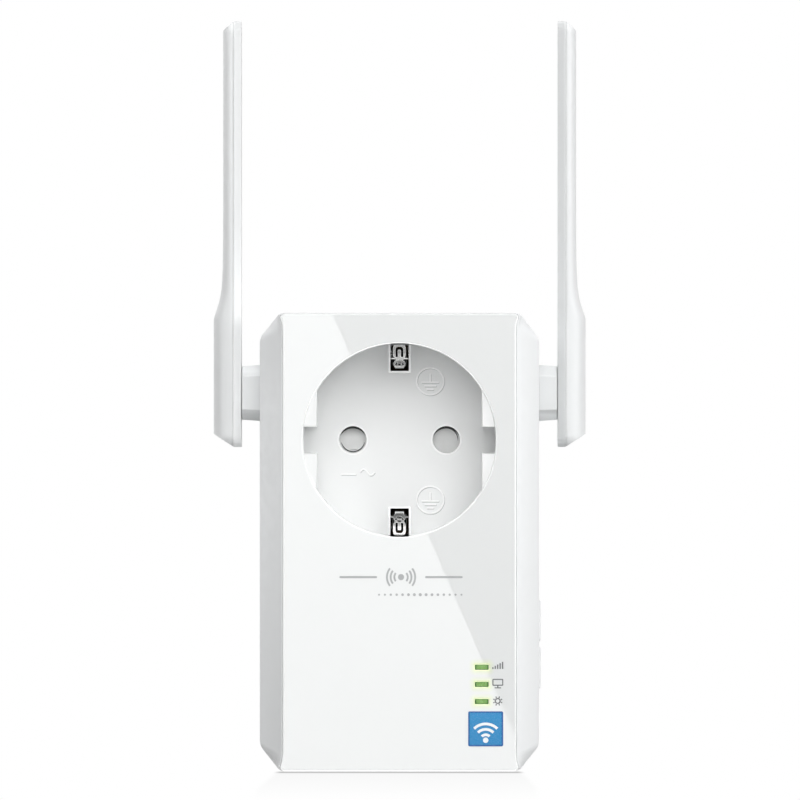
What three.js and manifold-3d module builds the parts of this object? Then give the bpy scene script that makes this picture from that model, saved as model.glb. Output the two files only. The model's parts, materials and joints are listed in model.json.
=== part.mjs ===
// Plug-in wireless range extender with a pass-through mains outlet and two swivelling antennas.
// Units are millimetres. X runs to the right seen from the front, Y runs into the wall, Z is up.
// The origin is the centre of the plug's end face. The front of the body faces -Y.
import * as THREE from "three";
import { mergeVertices } from "three/addons/utils/BufferGeometryUtils.js";
import Module from "manifold-3d";

const wasm = await Module();
wasm.setup();

// ---------------------------------------------------------------- driving dimensions
// body
const FACE_Y = -57.8; // front face of the glossy panel
const PANEL_THICK = 2.0;
const PANEL_BED_Y = FACE_Y + 2.1; // floor of the pocket that the panel sits in
const WALL_BACK_Y = PANEL_BED_Y + 1.5; // back of the housing wall behind the panel
const PART_Y = -36.0; // parting plane of the housing, and the depth of the antenna axis
const REAR_Y = -17.3; // rear face of the body, which rests near the wall plate
const BODY_HALF = 28.3; // half width of the body
const PANEL_HALF = 23.6; // half width of the panel
const TOP_Z = 25.65;
const BOTTOM_Z = -66.95;
const WALL = 2.0;
const SEAM = 0.1; // half of the gap between the housing halves
const FIT = 0.15; // clearance around a part in its opening
// outlet and plug
const PIN_X = 9.5; // half of the pin spacing
const CUP_R = 19.5; // recess radius
const CUP_OUTER_R = CUP_R + 1.5;
const CUP_FLOOR_Y = -40.3; // bottom of the recess
const CUP_BACK_Y = -38.3;
const PLUG_R = 18.4;
const PLUG_FLAT_X = 16.3;
// antennas
const PIVOT_Z = 9.5;
const PIVOT_X = 30.0;
const AXIS = [PART_Y, PIVOT_Z]; // Y and Z of the antenna axis
const BORE_R = 3.1;
const KNUCKLE = { halfY: 6, halfZ: 5.7, chamfer: 2.2 };
// status lights
const LIGHT_X = 16.65;
const LIGHT_Z = [0, 1, 2].map((i) => -45.9 - i * 3.47);
const PIPE = { halfX: 1.6, halfZ: 0.95 };
// side controls
const BUTTON_Y = -41.0;
const POWER_Z = -36.75;
const EXTEND_Z = -46.35;
const RESET_Z = -54.0;
const CAP = { halfY: 3, halfZ: 4.2 };
// screw bosses, X and Z
const BOSSES = [19.6, -60.6].flatMap((z) => [-22.8, 22.8].map((x) => [x, z]));
// front and back faces of the boards
const LOGIC_Y = [-36.1, -34.5];
const POWER_Y = [-21.2, -19.6];
// names and signs of repeated parts
const SIDES = [-1, 1];
const HANDS = [["left", -1], ["right", 1]];
const ENDS = [["top", 1], ["bottom", -1]];
const POLES = [["live", PIN_X], ["neutral", -PIN_X]];

// ---------------------------------------------------------------- point and span helpers
const series = (count, make) => Array.from({ length: count }, (_, i) => make(i));
// A span is a [low, high] pair along one axis.
const around = (centre, half) => [centre - half, centre + half];
// A span on one side of zero; side is +1 or -1.
const sided = (side, near, far) => (side > 0 ? [near, far] : [-far, -near]);
// Polygon with its corners half a step off the first axis.
const ring = ([cx, cy], radius, count) =>
  series(count, (i) => {
    const angle = ((i + 0.5) / count) * Math.PI * 2;
    return [cx + radius * Math.cos(angle), cy + radius * Math.sin(angle)];
  });
const mirrored = (side, points) => points.map(([x, v]) => [side * x, v]);

// A convex outline moved inwards by a distance.
function inset(points, distance) {
  const count = points.length;
  const area = points.reduce((sum, [x, y], i) => {
    const [nextX, nextY] = points[(i + 1) % count];
    return sum + x * nextY - nextX * y;
  }, 0);
  const turn = area > 0 ? 1 : -1;
  // each moved edge as its inward normal and its distance from the origin along it
  const edges = points.map(([x, y], i) => {
    const [nextX, nextY] = points[(i + 1) % count];
    const length = Math.hypot(nextX - x, nextY - y);
    const nx = (-(nextY - y) / length) * turn;
    const ny = ((nextX - x) / length) * turn;
    return { nx, ny, offset: nx * (x + nx * distance) + ny * (y + ny * distance) };
  });
  return edges.map((edge, i) => {
    const before = edges[(i + count - 1) % count];
    const det = before.nx * edge.ny - before.ny * edge.nx;
    return [
      (before.offset * edge.ny - before.ny * edge.offset) / det,
      (before.nx * edge.offset - before.offset * edge.nx) / det,
    ];
  });
}

// Outline of a flat strip that follows a path.
function stripOutline(path, thickness) {
  const left = [];
  const right = [];
  path.forEach(([a, b], i) => {
    const before = path[Math.max(i - 1, 0)];
    const after = path[Math.min(i + 1, path.length - 1)];
    const length = Math.hypot(after[0] - before[0], after[1] - before[1]);
    const da = (-(after[1] - before[1]) / length) * (thickness / 2);
    const db = ((after[0] - before[0]) / length) * (thickness / 2);
    left.push([a + da, b + db]);
    right.push([a - da, b - db]);
  });
  return [...left, ...right.reverse()];
}

// ---------------------------------------------------------------- solid helpers
// A three.js geometry as a solid: only positions, shared vertices merged, flat triangles dropped.
function solid(geometry) {
  const bare = geometry.index ? geometry.toNonIndexed() : geometry.clone();
  for (const key of Object.keys(bare.attributes))
    if (key !== "position") bare.deleteAttribute(key);
  const merged = mergeVertices(bare, 1e-4);
  const index = merged.index.array;
  const triangles = [];
  for (let i = 0; i < index.length; i += 3) {
    const [a, b, c] = index.subarray(i, i + 3);
    if (a !== b && b !== c && a !== c) triangles.push(a, b, c);
  }
  return new wasm.Manifold(
    new wasm.Mesh({
      numProp: 3,
      vertProperties: new Float32Array(merged.attributes.position.array),
      triVerts: new Uint32Array(triangles),
    }),
  );
}

function geometryOf(manifold) {
  const mesh = manifold.getMesh();
  const stride = mesh.numProp;
  const positions = new Float32Array(mesh.numVert * 3);
  for (let i = 0; i < mesh.numVert; i++)
    positions.set(mesh.vertProperties.subarray(i * stride, i * stride + 3), i * 3);
  const geometry = new THREE.BufferGeometry();
  geometry.setAttribute("position", new THREE.BufferAttribute(positions, 3));
  geometry.setIndex(new THREE.BufferAttribute(new Uint32Array(mesh.triVerts), 1));
  return geometry;
}

const vectors = (points) => points.map(([a, b]) => new THREE.Vector2(a, b));
function extrude(points, depth, holes = []) {
  const shape = new THREE.Shape(vectors(points));
  shape.holes = holes.map((hole) => new THREE.Path(vectors(hole)));
  return new THREE.ExtrudeGeometry(shape, { depth, bevelEnabled: false, curveSegments: 1 });
}
// Extrusions of an outline over a span of each axis.
// The outlines are [y, z] pairs for X, [x, z] for Y and [x, y] for Z.
const TO_X = new THREE.Matrix4().makeBasis(
  new THREE.Vector3(0, 1, 0),
  new THREE.Vector3(0, 0, 1),
  new THREE.Vector3(1, 0, 0),
);
const extrudeX = (points, [x0, x1]) =>
  solid(extrude(points, x1 - x0).applyMatrix4(TO_X).translate(x0, 0, 0));
const extrudeY = (points, [y0, y1], holes) =>
  solid(extrude(points, y1 - y0, holes).rotateX(Math.PI / 2).translate(0, y1, 0));
const extrudeZ = (points, [z0, z1]) => solid(extrude(points, z1 - z0).translate(0, 0, z0));

const rodX = (yz, radius, span, count) => extrudeX(ring(yz, radius, count), span);
const rodY = (xz, radius, span, count) => extrudeY(ring(xz, radius, count), span);
const block = ([x0, x1], [y0, y1], [z0, z1]) =>
  solid(
    new THREE.BoxGeometry(x1 - x0, y1 - y0, z1 - z0).translate(
      (x0 + x1) / 2,
      (y0 + y1) / 2,
      (z0 + z1) / 2,
    ),
  );
// A solid of revolution parallel to Y; the profile is [radius, y] pairs from axis to axis.
const latheY = ([x, z], profile, count) =>
  solid(new THREE.LatheGeometry(vectors(profile), count).translate(x, 0, z));
const union = (...items) => items.reduce((a, b) => a.add(b));
const cut = (body, ...tools) => tools.reduce((rest, tool) => rest.subtract(tool), body);
// A round cable along a smooth path.
function cable(points, radius, steps, count) {
  const extrudePath = new THREE.CatmullRomCurve3(
    points.map((point) => new THREE.Vector3(...point)),
    false,
    "centripetal",
  );
  const section = new THREE.Shape(vectors(ring([0, 0], radius, count)));
  return solid(
    new THREE.ExtrudeGeometry(section, { steps, extrudePath, bevelEnabled: false }),
  );
}

// ---------------------------------------------------------------- materials and scene graph
const GLOSS_WHITE = { color: 0xf6f7f7, roughness: 0.12, metalness: 0 };
const SATIN_WHITE = { color: 0xeff1f2, roughness: 0.42, metalness: 0 };
const SOCKET_WHITE = { color: 0xf1f3f3, roughness: 0.35, metalness: 0 };
const INNER_WHITE = { color: 0xe6e8e8, roughness: 0.5, metalness: 0 };
const NICKEL = { color: 0xbfc2c4, roughness: 0.25, metalness: 1 };
const STEEL = { color: 0xa7abae, roughness: 0.35, metalness: 1 };
const BRASS = { color: 0xc9a35a, roughness: 0.32, metalness: 1 };
const COPPER = { color: 0xb87349, roughness: 0.35, metalness: 1 };
const BOARD_GREEN = { color: 0x1f5b3a, roughness: 0.55, metalness: 0 };
const LIGHT_GREEN = { color: 0x8ec46a, roughness: 0.25, metalness: 0 };
const BLACK = { color: 0x1b1c1e, roughness: 0.5, metalness: 0 };
const DARK_GREY = { color: 0x2d3033, roughness: 0.6, metalness: 0 };
const WIRE_BROWN = { color: 0x7a4a2b, roughness: 0.5, metalness: 0 };
const WIRE_BLUE = { color: 0x2f63a8, roughness: 0.5, metalness: 0 };

const extender = new THREE.Group();

function addGroup(parent, x, y, z) {
  const group = new THREE.Group();
  group.position.set(x, y, z);
  parent.add(group);
  return group;
}
const housing = addGroup(extender, 0, 0, 0);

// One named mesh: its geometry is moved so that origin, in body coordinates, is its own origin.
function add(group, name, manifold, look, origin) {
  const at = new THREE.Vector3(...origin);
  const geometry = geometryOf(manifold).translate(-at.x, -at.y, -at.z);
  geometry.computeVertexNormals();
  const mesh = new THREE.Mesh(geometry, new THREE.MeshStandardMaterial(look));
  mesh.name = name;
  mesh.position.copy(at).sub(group.position);
  group.add(mesh);
}

// ---------------------------------------------------------------- outlines
const CORNER_X = 24.4; // where the silhouette's corner chamfers begin
const CORNER_DROP = 4.25; // height of those chamfers
// Silhouette of the body, X and Z.
const bodyOutline = [
  [CORNER_X, TOP_Z],
  [BODY_HALF, TOP_Z - CORNER_DROP],
  [BODY_HALF, BOTTOM_Z + CORNER_DROP],
  [CORNER_X, BOTTOM_Z],
  [-CORNER_X, BOTTOM_Z],
  [-BODY_HALF, BOTTOM_Z + CORNER_DROP],
  [-BODY_HALF, TOP_Z - CORNER_DROP],
  [-CORNER_X, TOP_Z],
];
// Panel outline, X and Z: straight sides that flare a little at the corners.
const MID_Z = (TOP_Z + BOTTOM_Z) / 2;
const panelCorner = [
  [PANEL_HALF, TOP_Z - 4.35],
  [PANEL_HALF + 0.15, TOP_Z - 2.45],
  [PANEL_HALF + 0.6, TOP_Z - 0.7],
  [PANEL_HALF, TOP_Z],
];
const panelRight = [
  ...panelCorner.map(([x, z]) => [x, 2 * MID_Z - z]).reverse(),
  ...panelCorner,
];
const panelOutline = [...panelRight, ...mirrored(-1, panelRight).reverse()];
// Y and Z spans of everything that reaches past the body
const PAST_BODY_X = around(0, BODY_HALF + 1);
const PAST_BODY_Z = [BOTTOM_Z - 1, TOP_Z + 1];

// Knuckle section, Y and Z about the antenna axis: a rectangle with broken corners.
function knuckleSection(halfY, halfZ, chamfer) {
  const front = PART_Y - halfY;
  const back = PART_Y + halfY;
  const low = PIVOT_Z - halfZ;
  const high = PIVOT_Z + halfZ;
  return [
    [back, high - chamfer],
    [back - chamfer, high],
    [front + chamfer, high],
    [front, high - chamfer],
    [front, low + chamfer],
    [front + chamfer, low],
    [back - chamfer, low],
    [back, low + chamfer],
  ];
}
const knucklePockets = () => {
  const section = knuckleSection(KNUCKLE.halfY + FIT, KNUCKLE.halfZ + FIT, 2.25);
  return SIDES.map((side) => extrudeX(section, sided(side, 24, 30)));
};

// ---------------------------------------------------------------- front panel
function frontPanel() {
  const windowHalfX = 1.375;
  const windowHalfZ = 0.525;
  const lightWindow = (z) => [
    [LIGHT_X - windowHalfX, z - windowHalfZ],
    [LIGHT_X + windowHalfX, z - windowHalfZ],
    [LIGHT_X + windowHalfX, z + windowHalfZ],
    [LIGHT_X - windowHalfX, z + windowHalfZ],
  ];
  return extrudeY(panelOutline, [FACE_Y, FACE_Y + PANEL_THICK], [
    ring([0, 0], CUP_R + 0.1, 48),
    ...LIGHT_Z.map(lightWindow),
  ]);
}
add(housing, "front_panel", frontPanel(), GLOSS_WHITE, [0, FACE_Y, 0]);

// ---------------------------------------------------------------- front housing
function frontHousing() {
  const facetDepth = 8; // depth of the slanted side facets
  const lipDepth = 0.5; // the lip lies this far behind the panel's face
  const lipX = PANEL_HALF + (lipDepth * (BODY_HALF - PANEL_HALF)) / facetDepth;
  const innerX = BODY_HALF - WALL;
  const innerFrontX = 23.4;
  const innerFacetY = -49.26;
  const backY = PART_Y - SEAM;
  const plan = [
    [-BODY_HALF, backY],
    [-BODY_HALF, FACE_Y + facetDepth],
    [-lipX, FACE_Y + lipDepth],
    [lipX, FACE_Y + lipDepth],
    [BODY_HALF, FACE_Y + facetDepth],
    [BODY_HALF, backY],
  ];
  const innerPlan = [
    [-innerX, PART_Y + 1],
    [-innerX, innerFacetY],
    [-innerFrontX, WALL_BACK_Y],
    [innerFrontX, WALL_BACK_Y],
    [innerX, innerFacetY],
    [innerX, PART_Y + 1],
  ];
  const cavity = extrudeZ(innerPlan, PAST_BODY_Z).intersect(
    extrudeY(inset(bodyOutline, WALL), [WALL_BACK_Y, PART_Y + 1]),
  );
  const panelGap = 0.12;
  const pocket = panelOutline.map(([x, z]) => [
    x + Math.sign(x) * panelGap,
    z + Math.sign(z - MID_Z) * panelGap,
  ]);
  let body = extrudeZ(plan, PAST_BODY_Z).intersect(
    extrudeY(bodyOutline, [FACE_Y - 1, PART_Y]),
  );
  body = cut(body, cavity, extrudeY(pocket, [FACE_Y - 2, PANEL_BED_Y]));
  for (const boss of BOSSES)
    body = body
      .add(rodY(boss, 3.2, [WALL_BACK_Y - 0.2, backY], 20))
      .subtract(rodY(boss, 1.15, [-50, PART_Y + 1], 12));
  const throughSide = [25, 30];
  return cut(
    body,
    rodY([0, 0], CUP_OUTER_R + FIT, [FACE_Y - 3, -53], 48),
    ...LIGHT_Z.map((z) =>
      block(around(LIGHT_X, PIPE.halfX + FIT), [-57, -53], around(z, PIPE.halfZ + FIT)),
    ),
    ...[POWER_Z, EXTEND_Z].map((z) =>
      block(throughSide, around(BUTTON_Y, CAP.halfY + FIT), around(z, CAP.halfZ + FIT)),
    ),
    rodX([BUTTON_Y, RESET_Z], 0.8, throughSide, 12),
    ...knucklePockets(),
  );
}
add(housing, "front_housing", frontHousing(), SATIN_WHITE, [0, PART_Y, 0]);

// ---------------------------------------------------------------- rear housing
// The plug's solid, grown by an offset: a disc with two flats and a rib on each flat.
function plugProfile([y0, y1], offset) {
  const ribX = 18.2;
  const ribHalfZ = 2.4;
  const pastY = [y0 - 1, y1 + 1];
  const limits = union(
    block(around(0, PLUG_FLAT_X + offset), pastY, around(0, 25)),
    block(around(0, ribX + offset), pastY, around(0, ribHalfZ + offset)),
  );
  return rodY([0, 0], PLUG_R + offset, [y0, y1], 40).intersect(limits);
}

function ventSlots() {
  const ventY = [-31, -21];
  const half = 0.9; // half width of a slot
  const topX = series(9, (i) => (i - 4) * 4);
  const bottomX = [-20, -16, -12, 12, 16, 20];
  const sideZ = series(7, (i) => -30 - i * 4.5);
  return [
    ...topX.map((x) => block(around(x, half), ventY, [TOP_Z - 3, TOP_Z + 1])),
    ...bottomX.map((x) => block(around(x, half), ventY, [BOTTOM_Z - 1, BOTTOM_Z + 3])),
    ...sideZ.flatMap((z) =>
      SIDES.map((side) => block(sided(side, 25, 30), ventY, around(z, half))),
    ),
  ];
}

function rearHousing() {
  const frontY = PART_Y + SEAM;
  const chamfer = 1.5;
  const chamferY = REAR_Y - chamfer;
  const plan = [
    [-BODY_HALF, frontY],
    [BODY_HALF, frontY],
    [BODY_HALF, chamferY],
    [BODY_HALF - chamfer, REAR_Y],
    [-BODY_HALF + chamfer, REAR_Y],
    [-BODY_HALF, chamferY],
  ];
  const sideView = [
    [frontY, BOTTOM_Z],
    [chamferY, BOTTOM_Z],
    [REAR_Y, BOTTOM_Z + chamfer],
    [REAR_Y, TOP_Z - chamfer],
    [chamferY, TOP_Z],
    [frontY, TOP_Z],
  ];
  let body = extrudeY(bodyOutline, [frontY, REAR_Y])
    .intersect(extrudeZ(plan, PAST_BODY_Z))
    .intersect(extrudeX(sideView, PAST_BODY_X))
    .subtract(extrudeY(inset(bodyOutline, WALL), [frontY - 1, REAR_Y - WALL]));
  for (const boss of BOSSES)
    body = cut(
      body.add(rodY(boss, 3.6, [frontY, REAR_Y - 1], 20)),
      rodY(boss, 1.5, [frontY - 1, REAR_Y + 1], 12),
      rodY(boss, 2.8, [-27, REAR_Y + 1], 20), // recess for the screw head
    );
  return cut(
    body,
    plugProfile([-22, -16], FIT),
    ...ventSlots(),
    block(around(0, 6.9), [-33.8, -23.4], [BOTTOM_Z - 1, BOTTOM_Z + 3]), // network jack opening
    ...knucklePockets(),
  );
}
add(housing, "rear_housing", rearHousing(), SATIN_WHITE, [0, REAR_Y, 0]);

// ---------------------------------------------------------------- outlet
function socketInsert() {
  const rimY = PANEL_BED_Y + 0.05;
  const keyX = 16.7; // inner faces of the key blocks
  const keyNotch = 2.65; // half height of the notch between key blocks
  const keyFrontY = -57.3;
  const pinHoleR = 2.75;
  const earthSlotX = 1.87; // half width
  const earthSlotZ = [14.0, 21.6];
  const pastY = [-60, -35];
  const wide = around(0, 25);
  const betweenKeys = union(
    block(around(0, keyX), pastY, wide),
    block(wide, pastY, around(0, keyNotch)),
  );
  const cavity = rodY([0, 0], CUP_R, [rimY - 1, CUP_FLOOR_Y], 48).intersect(betweenKeys);
  // the key blocks stand up through the panel's hole
  const keys = rodY([0, 0], CUP_R - 0.05, [keyFrontY, rimY + 1], 48).subtract(betweenKeys);
  const cup = rodY([0, 0], CUP_OUTER_R, [rimY, CUP_BACK_Y], 48)
    .add(rodY([0, 0], 23, [-54.05, -52.5], 40)) // flange behind the housing wall
    .subtract(cavity)
    .add(keys);
  return cut(
    cup,
    ...[-PIN_X, PIN_X].map((x) =>
      rodY([x, 0], pinHoleR, [CUP_FLOOR_Y - 1, CUP_BACK_Y + 1], 28),
    ),
    ...SIDES.map((side) =>
      block(around(0, earthSlotX), [rimY - 3, CUP_BACK_Y + 1], sided(side, ...earthSlotZ)),
    ),
  ).add(rodY([0, 0], 1.6, [CUP_BACK_Y - 0.5, -35.0], 20)); // shutter axle
}
add(housing, "socket_insert", socketInsert(), SOCKET_WHITE, [0, CUP_BACK_Y, 0]);

function shutterRotor() {
  const frontY = -38.1;
  const span = [frontY, -36.3];
  const halfAngle = (24 * Math.PI) / 180;
  const arc = (radius) =>
    series(7, (i) => {
      const angle = -halfAngle + (2 * halfAngle * i) / 6;
      return [radius * Math.cos(angle), radius * Math.sin(angle)];
    });
  const blade = [...arc(13), ...arc(6).reverse()];
  const rotor = union(
    rodY([0, 0], 3.4, span, 24),
    extrudeY(blade, span),
    extrudeY(mirrored(-1, blade), span),
    block(around(0, 7), span, around(0, 2)),
  );
  // a shallow round dimple under each pin hole, off centre, so a single pin slides off
  const dimples = SIDES.map((side) =>
    rodY([side * (PIN_X - 0.35), -side * 0.45], 2.4, [frontY - 1, frontY + 0.6], 24),
  );
  return cut(rotor, rodY([0, 0], 1.68, [frontY - 1, span[1] + 1], 20), ...dimples);
}
const shutterPivot = addGroup(housing, 0, CUP_BACK_Y, 0);
add(shutterPivot, "shutter_rotor", shutterRotor(), INNER_WHITE, [0, -37.2, 0]);

// Torsion spring behind the shutter: a coil and a straight tail.
function shutterSpring() {
  const turns = 1.75;
  const coilR = 2.4;
  const coilDepth = 0.62;
  const steps = 30;
  const coil = series(steps + 1, (i) => {
    const angle = (i / steps) * turns * Math.PI * 2;
    return [coilR * Math.cos(angle), -36 + (coilDepth * i) / steps, coilR * Math.sin(angle)];
  });
  return cable([...coil, [-0.6, -35.36, -4.6]], 0.17, 40, 5);
}
add(housing, "shutter_spring", shutterSpring(), STEEL, [0, -35.8, 0]);

// ---------------------------------------------------------------- contacts behind the outlet
const TUBE_R = 3.4; // outside of a pin's contact tube

const terminalBlock = () =>
  cut(
    block(around(0, 15.5), [-34.6, -21.2], around(0, 6.2)),
    ...[-PIN_X, PIN_X].map((x) => rodY([x, 0], TUBE_R + FIT, [-36, -20], 24)),
    block(around(0, 2.2), [-22.2, -20], around(0, 8)), // channel for the earth strap
  );
add(housing, "terminal_block", terminalBlock(), DARK_GREY, [0, -28, 0]);

// A slit tube, closed at the rear, that grips the pin.
const socketTerminal = (x) =>
  cut(
    rodY([x, 0], TUBE_R, [-34.5, -21.4], 24),
    rodY([x, 0], 2.2, [-36, -22.3], 20),
    block(around(x, 0.4), [-36, -24], [0, 5]),
  );
for (const [pole, x] of POLES)
  add(housing, "socket_terminal_" + pole, socketTerminal(x), BRASS, [x, -28, 0]);

// A U: an upright bar at the rear with an arm forward at each end.
function earthStrap() {
  const width = around(0, 1.7);
  const rearY = -21.3;
  const endZ = 19.2;
  return union(
    block(width, [-22.0, rearY], around(0, endZ)),
    ...[1, -1].map((side) => block(width, [-37.6, rearY], sided(side, 18.5, endZ))),
  );
}
add(housing, "earth_strap", earthStrap(), BRASS, [0, -21.65, 0]);

// Centre line of the upper earth clip, Y and Z, from back to front.
const EARTH_CLIP_PATH = [
  [-31, 18.15], [-37, 18.15], [-41, 17.6], [-46.5, 14.75],
  [-49.5, 14.75], [-53.6, 17.6], [-55.1, 19.0],
];
for (const [end, side] of ENDS) {
  const origin = [0, -37, side * 18.25];
  const path = EARTH_CLIP_PATH.map(([y, z]) => [y, z * side]);
  const clip = extrudeX(stripOutline(path, 0.45), around(0, 1.45));
  add(addGroup(housing, ...origin), "earth_clip_" + end, clip, NICKEL, origin);
}

// ---------------------------------------------------------------- wall plug
const PLUG_PIN_R = 2.4;
const EARTH_HOLE = [0, 10]; // X and Z of the plug's earth hole

function plugBody() {
  const wall = 2.2;
  const flangeBackY = REAR_Y - WALL - SEAM;
  const frontY = flangeBackY - 1.6;
  const hollow = rodY([0, 0], PLUG_R - wall, [frontY - 1, -2.4], 32).intersect(
    block(around(0, PLUG_FLAT_X - wall), [-30, 0], around(0, 25)),
  );
  let plug = plugProfile([frontY, 0], 0)
    .add(rodY([0, 0], 20.4, [frontY, flangeBackY], 40))
    .subtract(hollow);
  for (const x of [-PIN_X, PIN_X])
    plug = plug
      .add(rodY([x, 0], 4.2, [frontY, -2], 24))
      .subtract(rodY([x, 0], PLUG_PIN_R + 0.1, [frontY - 1, 1], 20));
  plug = plug.subtract(rodY(EARTH_HOLE, 2.7, [-4, 1], 20));
  // the slots for the earth contacts are open to the outside behind the flange only
  const slotX = around(0, 2.7);
  const slotZ = 16.95;
  for (const side of SIDES)
    plug = cut(
      plug,
      block(slotX, [flangeBackY + 0.001, -1.2], sided(side, slotZ, 19)),
      block(slotX, [frontY - 1, -1.2], sided(side, slotZ, 18.05)),
    );
  return plug;
}
add(housing, "plug_body", plugBody(), SATIN_WHITE, [0, 0, 0]);

function plugPin(x) {
  const frontY = -21.25;
  const tipY = 19;
  const profile = [
    [0, frontY],
    [PLUG_PIN_R, frontY],
    [PLUG_PIN_R, tipY - 2.2],
    [PLUG_PIN_R * 0.92, tipY - 1.1],
    [PLUG_PIN_R * 0.66, tipY - 0.35],
    [0, tipY],
  ];
  return latheY([x, 0], profile, 20);
}
for (const [pole, x] of POLES) add(housing, "plug_pin_" + pole, plugPin(x), NICKEL, [x, 0, 0]);

for (const [end, side] of ENDS) {
  const contact = block(around(0, 2.5), [-21.1, -1.5], sided(side, 17.1, 17.9));
  add(housing, "plug_earth_contact_" + end, contact, NICKEL, [0, -10, 17.5 * side]);
}

const earthSleeve = rodY(EARTH_HOLE, 3.3, [-15, -2.5], 20).subtract(
  rodY(EARTH_HOLE, 2.5, [-14, -1], 20),
);
add(housing, "plug_earth_sleeve", earthSleeve, NICKEL, [0, -8, 10]);

// ---------------------------------------------------------------- power supply
const SUPPLY_BACK_Y = POWER_Y[0] - 0.2; // back of the tall parts in front of the power board

const powerBoard = block(around(0, 22), POWER_Y, [-48.5, -21.5]);
add(housing, "power_board", powerBoard, BOARD_GREEN, [0, -20.4, -35]);

const transformer = union(
  block([-6, 8], [-33.6, SUPPLY_BACK_Y], around(-35, 2.6)),
  block([-4.6, 6.6], [-32.4, -22.4], around(-35, 7)),
  block([-6, 8], [-22.6, SUPPLY_BACK_Y], around(-35, 6.4)),
);
add(housing, "transformer", transformer, BLACK, [1, -27.5, -35]);

// A can with a bevelled front edge and a groove near its back.
function capacitor(xz, radius, frontY) {
  const profile = [
    [0, frontY],
    [radius - 0.5, frontY],
    [radius, frontY + 0.5],
    [radius, SUPPLY_BACK_Y - 1.8],
    [radius - 0.35, SUPPLY_BACK_Y - 1.4],
    [radius, SUPPLY_BACK_Y - 1.0],
    [radius, SUPPLY_BACK_Y],
    [0, SUPPLY_BACK_Y],
  ];
  return latheY(xz, profile, 20);
}
for (const [name, x, z, radius, frontY] of [
  ["input_capacitor", -14, -33, 5, -33.5],
  ["output_capacitor", 14.5, -32, 4, -32],
])
  add(housing, name, capacitor([x, z], radius, frontY), BLACK, [x, -27, z]);

// A tube with a wider cap on each end.
function fuse() {
  const centre = [-23.1, -43]; // Y and Z
  return union(
    rodX(centre, 1.5, [-18, -16], 14),
    rodX(centre, 1.25, [-16.1, -11.9], 14),
    rodX(centre, 1.5, [-12, -10], 14),
  );
}
add(housing, "fuse", fuse(), LIGHT_GREEN, [-14, -23.1, -43]);

// ---------------------------------------------------------------- logic board
const LOGIC_PART_Y = LOGIC_Y[0] - 0.1; // back of the parts in front of the logic board

const logicBoard = union(
  block(around(0, 24.2), LOGIC_Y, [-56.5, -24]),
  block(around(0, 18.9), LOGIC_Y, [-64.5, -56.4]),
);
add(housing, "logic_board", logicBoard, BOARD_GREEN, [0, -35.3, -44]);

// The shield is open at the back and covers the radio chip.
const RADIO_X = -6;
const RADIO_Z = -40;
const shieldCan = block(around(RADIO_X, 10), [-39.2, LOGIC_PART_Y], around(RADIO_Z, 10)).subtract(
  block(around(RADIO_X, 9.6), [-38.8, -36], around(RADIO_Z, 9.6)),
);
add(housing, "shield_can", shieldCan, STEEL, [RADIO_X, -37.7, RADIO_Z]);
const radioChip = block(around(RADIO_X, 5), [-37.4, LOGIC_PART_Y], around(RADIO_Z, 5));
add(housing, "radio_chip", radioChip, BLACK, [RADIO_X, -36.8, RADIO_Z]);

const networkJack = cut(
  block(around(0, 8), [-34.4, -21.6], [-64.8, -50]),
  block(around(0, 6), [-33, -26.2], [-67, -53]),
  block(around(0, 3.2), [-26.5, -24.2], [-67, -58]), // latch channel
);
add(housing, "network_jack", networkJack, DARK_GREY, [0, -28, -57]);

// A row of fingers joined by a bar at the top.
function jackContacts() {
  const contactY = [-32.8, -32.0];
  const pitch = 1.02;
  const fingers = series(8, (i) =>
    block(around(-3.5 * pitch, 0.18).map((x) => x + i * pitch), contactY, [-63, -53.4]),
  );
  return union(block(around(0, 4.2), contactY, [-53.6, -53.1]), ...fingers);
}
add(housing, "jack_contacts", jackContacts(), BRASS, [0, -32.4, -58]);

const lightPipe = (z) =>
  union(
    block(around(LIGHT_X, 1.3), [-57.7, -55.5], around(z, 0.45)),
    block(around(LIGHT_X, PIPE.halfX), [-55.6, -38], around(z, PIPE.halfZ)),
  );
["signal", "network", "power"].forEach((what, i) => {
  const z = LIGHT_Z[i];
  const led = block(around(LIGHT_X, 0.8), [-36.9, LOGIC_PART_Y], around(z, 0.4));
  add(housing, "led_" + what, led, LIGHT_GREEN, [LIGHT_X, -36.5, z]);
  add(housing, "light_pipe_" + what, lightPipe(z), LIGHT_GREEN, [LIGHT_X, -50, z]);
});

// ---------------------------------------------------------------- side controls
const BUTTON_X = BODY_HALF + 0.4; // outer face of the caps, a little proud of the body

// Cap with broken edges, retaining flange and plunger stem.
function sideButton(z) {
  const { halfY, halfZ } = CAP;
  const plan = [
    [26, BUTTON_Y - halfY],
    [BUTTON_X - 0.35, BUTTON_Y - halfY],
    [BUTTON_X, BUTTON_Y - halfY + 0.4],
    [BUTTON_X, BUTTON_Y + halfY - 0.4],
    [BUTTON_X - 0.35, BUTTON_Y + halfY],
    [26, BUTTON_Y + halfY],
  ];
  const frontView = [
    [25, z - halfZ],
    [BUTTON_X - 0.4, z - halfZ],
    [BUTTON_X, z - halfZ + 0.6],
    [BUTTON_X, z + halfZ - 0.6],
    [BUTTON_X - 0.4, z + halfZ],
    [25, z + halfZ],
  ];
  return union(
    extrudeZ(plan, around(z, halfZ)).intersect(extrudeY(frontView, around(BUTTON_Y, 4))),
    block([25.2, 26.1], around(BUTTON_Y, 3.8), around(z, 4.65)),
    rodX([BUTTON_Y, z], 1.2, [22.2, 25.4], 14),
  );
}
const sideSwitch = (z) =>
  block([19.4, 23.6], [-44.2, LOGIC_PART_Y], around(z, 3.1)).subtract(
    rodX([BUTTON_Y, z], 1.45, [20.7, 25], 14),
  );
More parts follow.
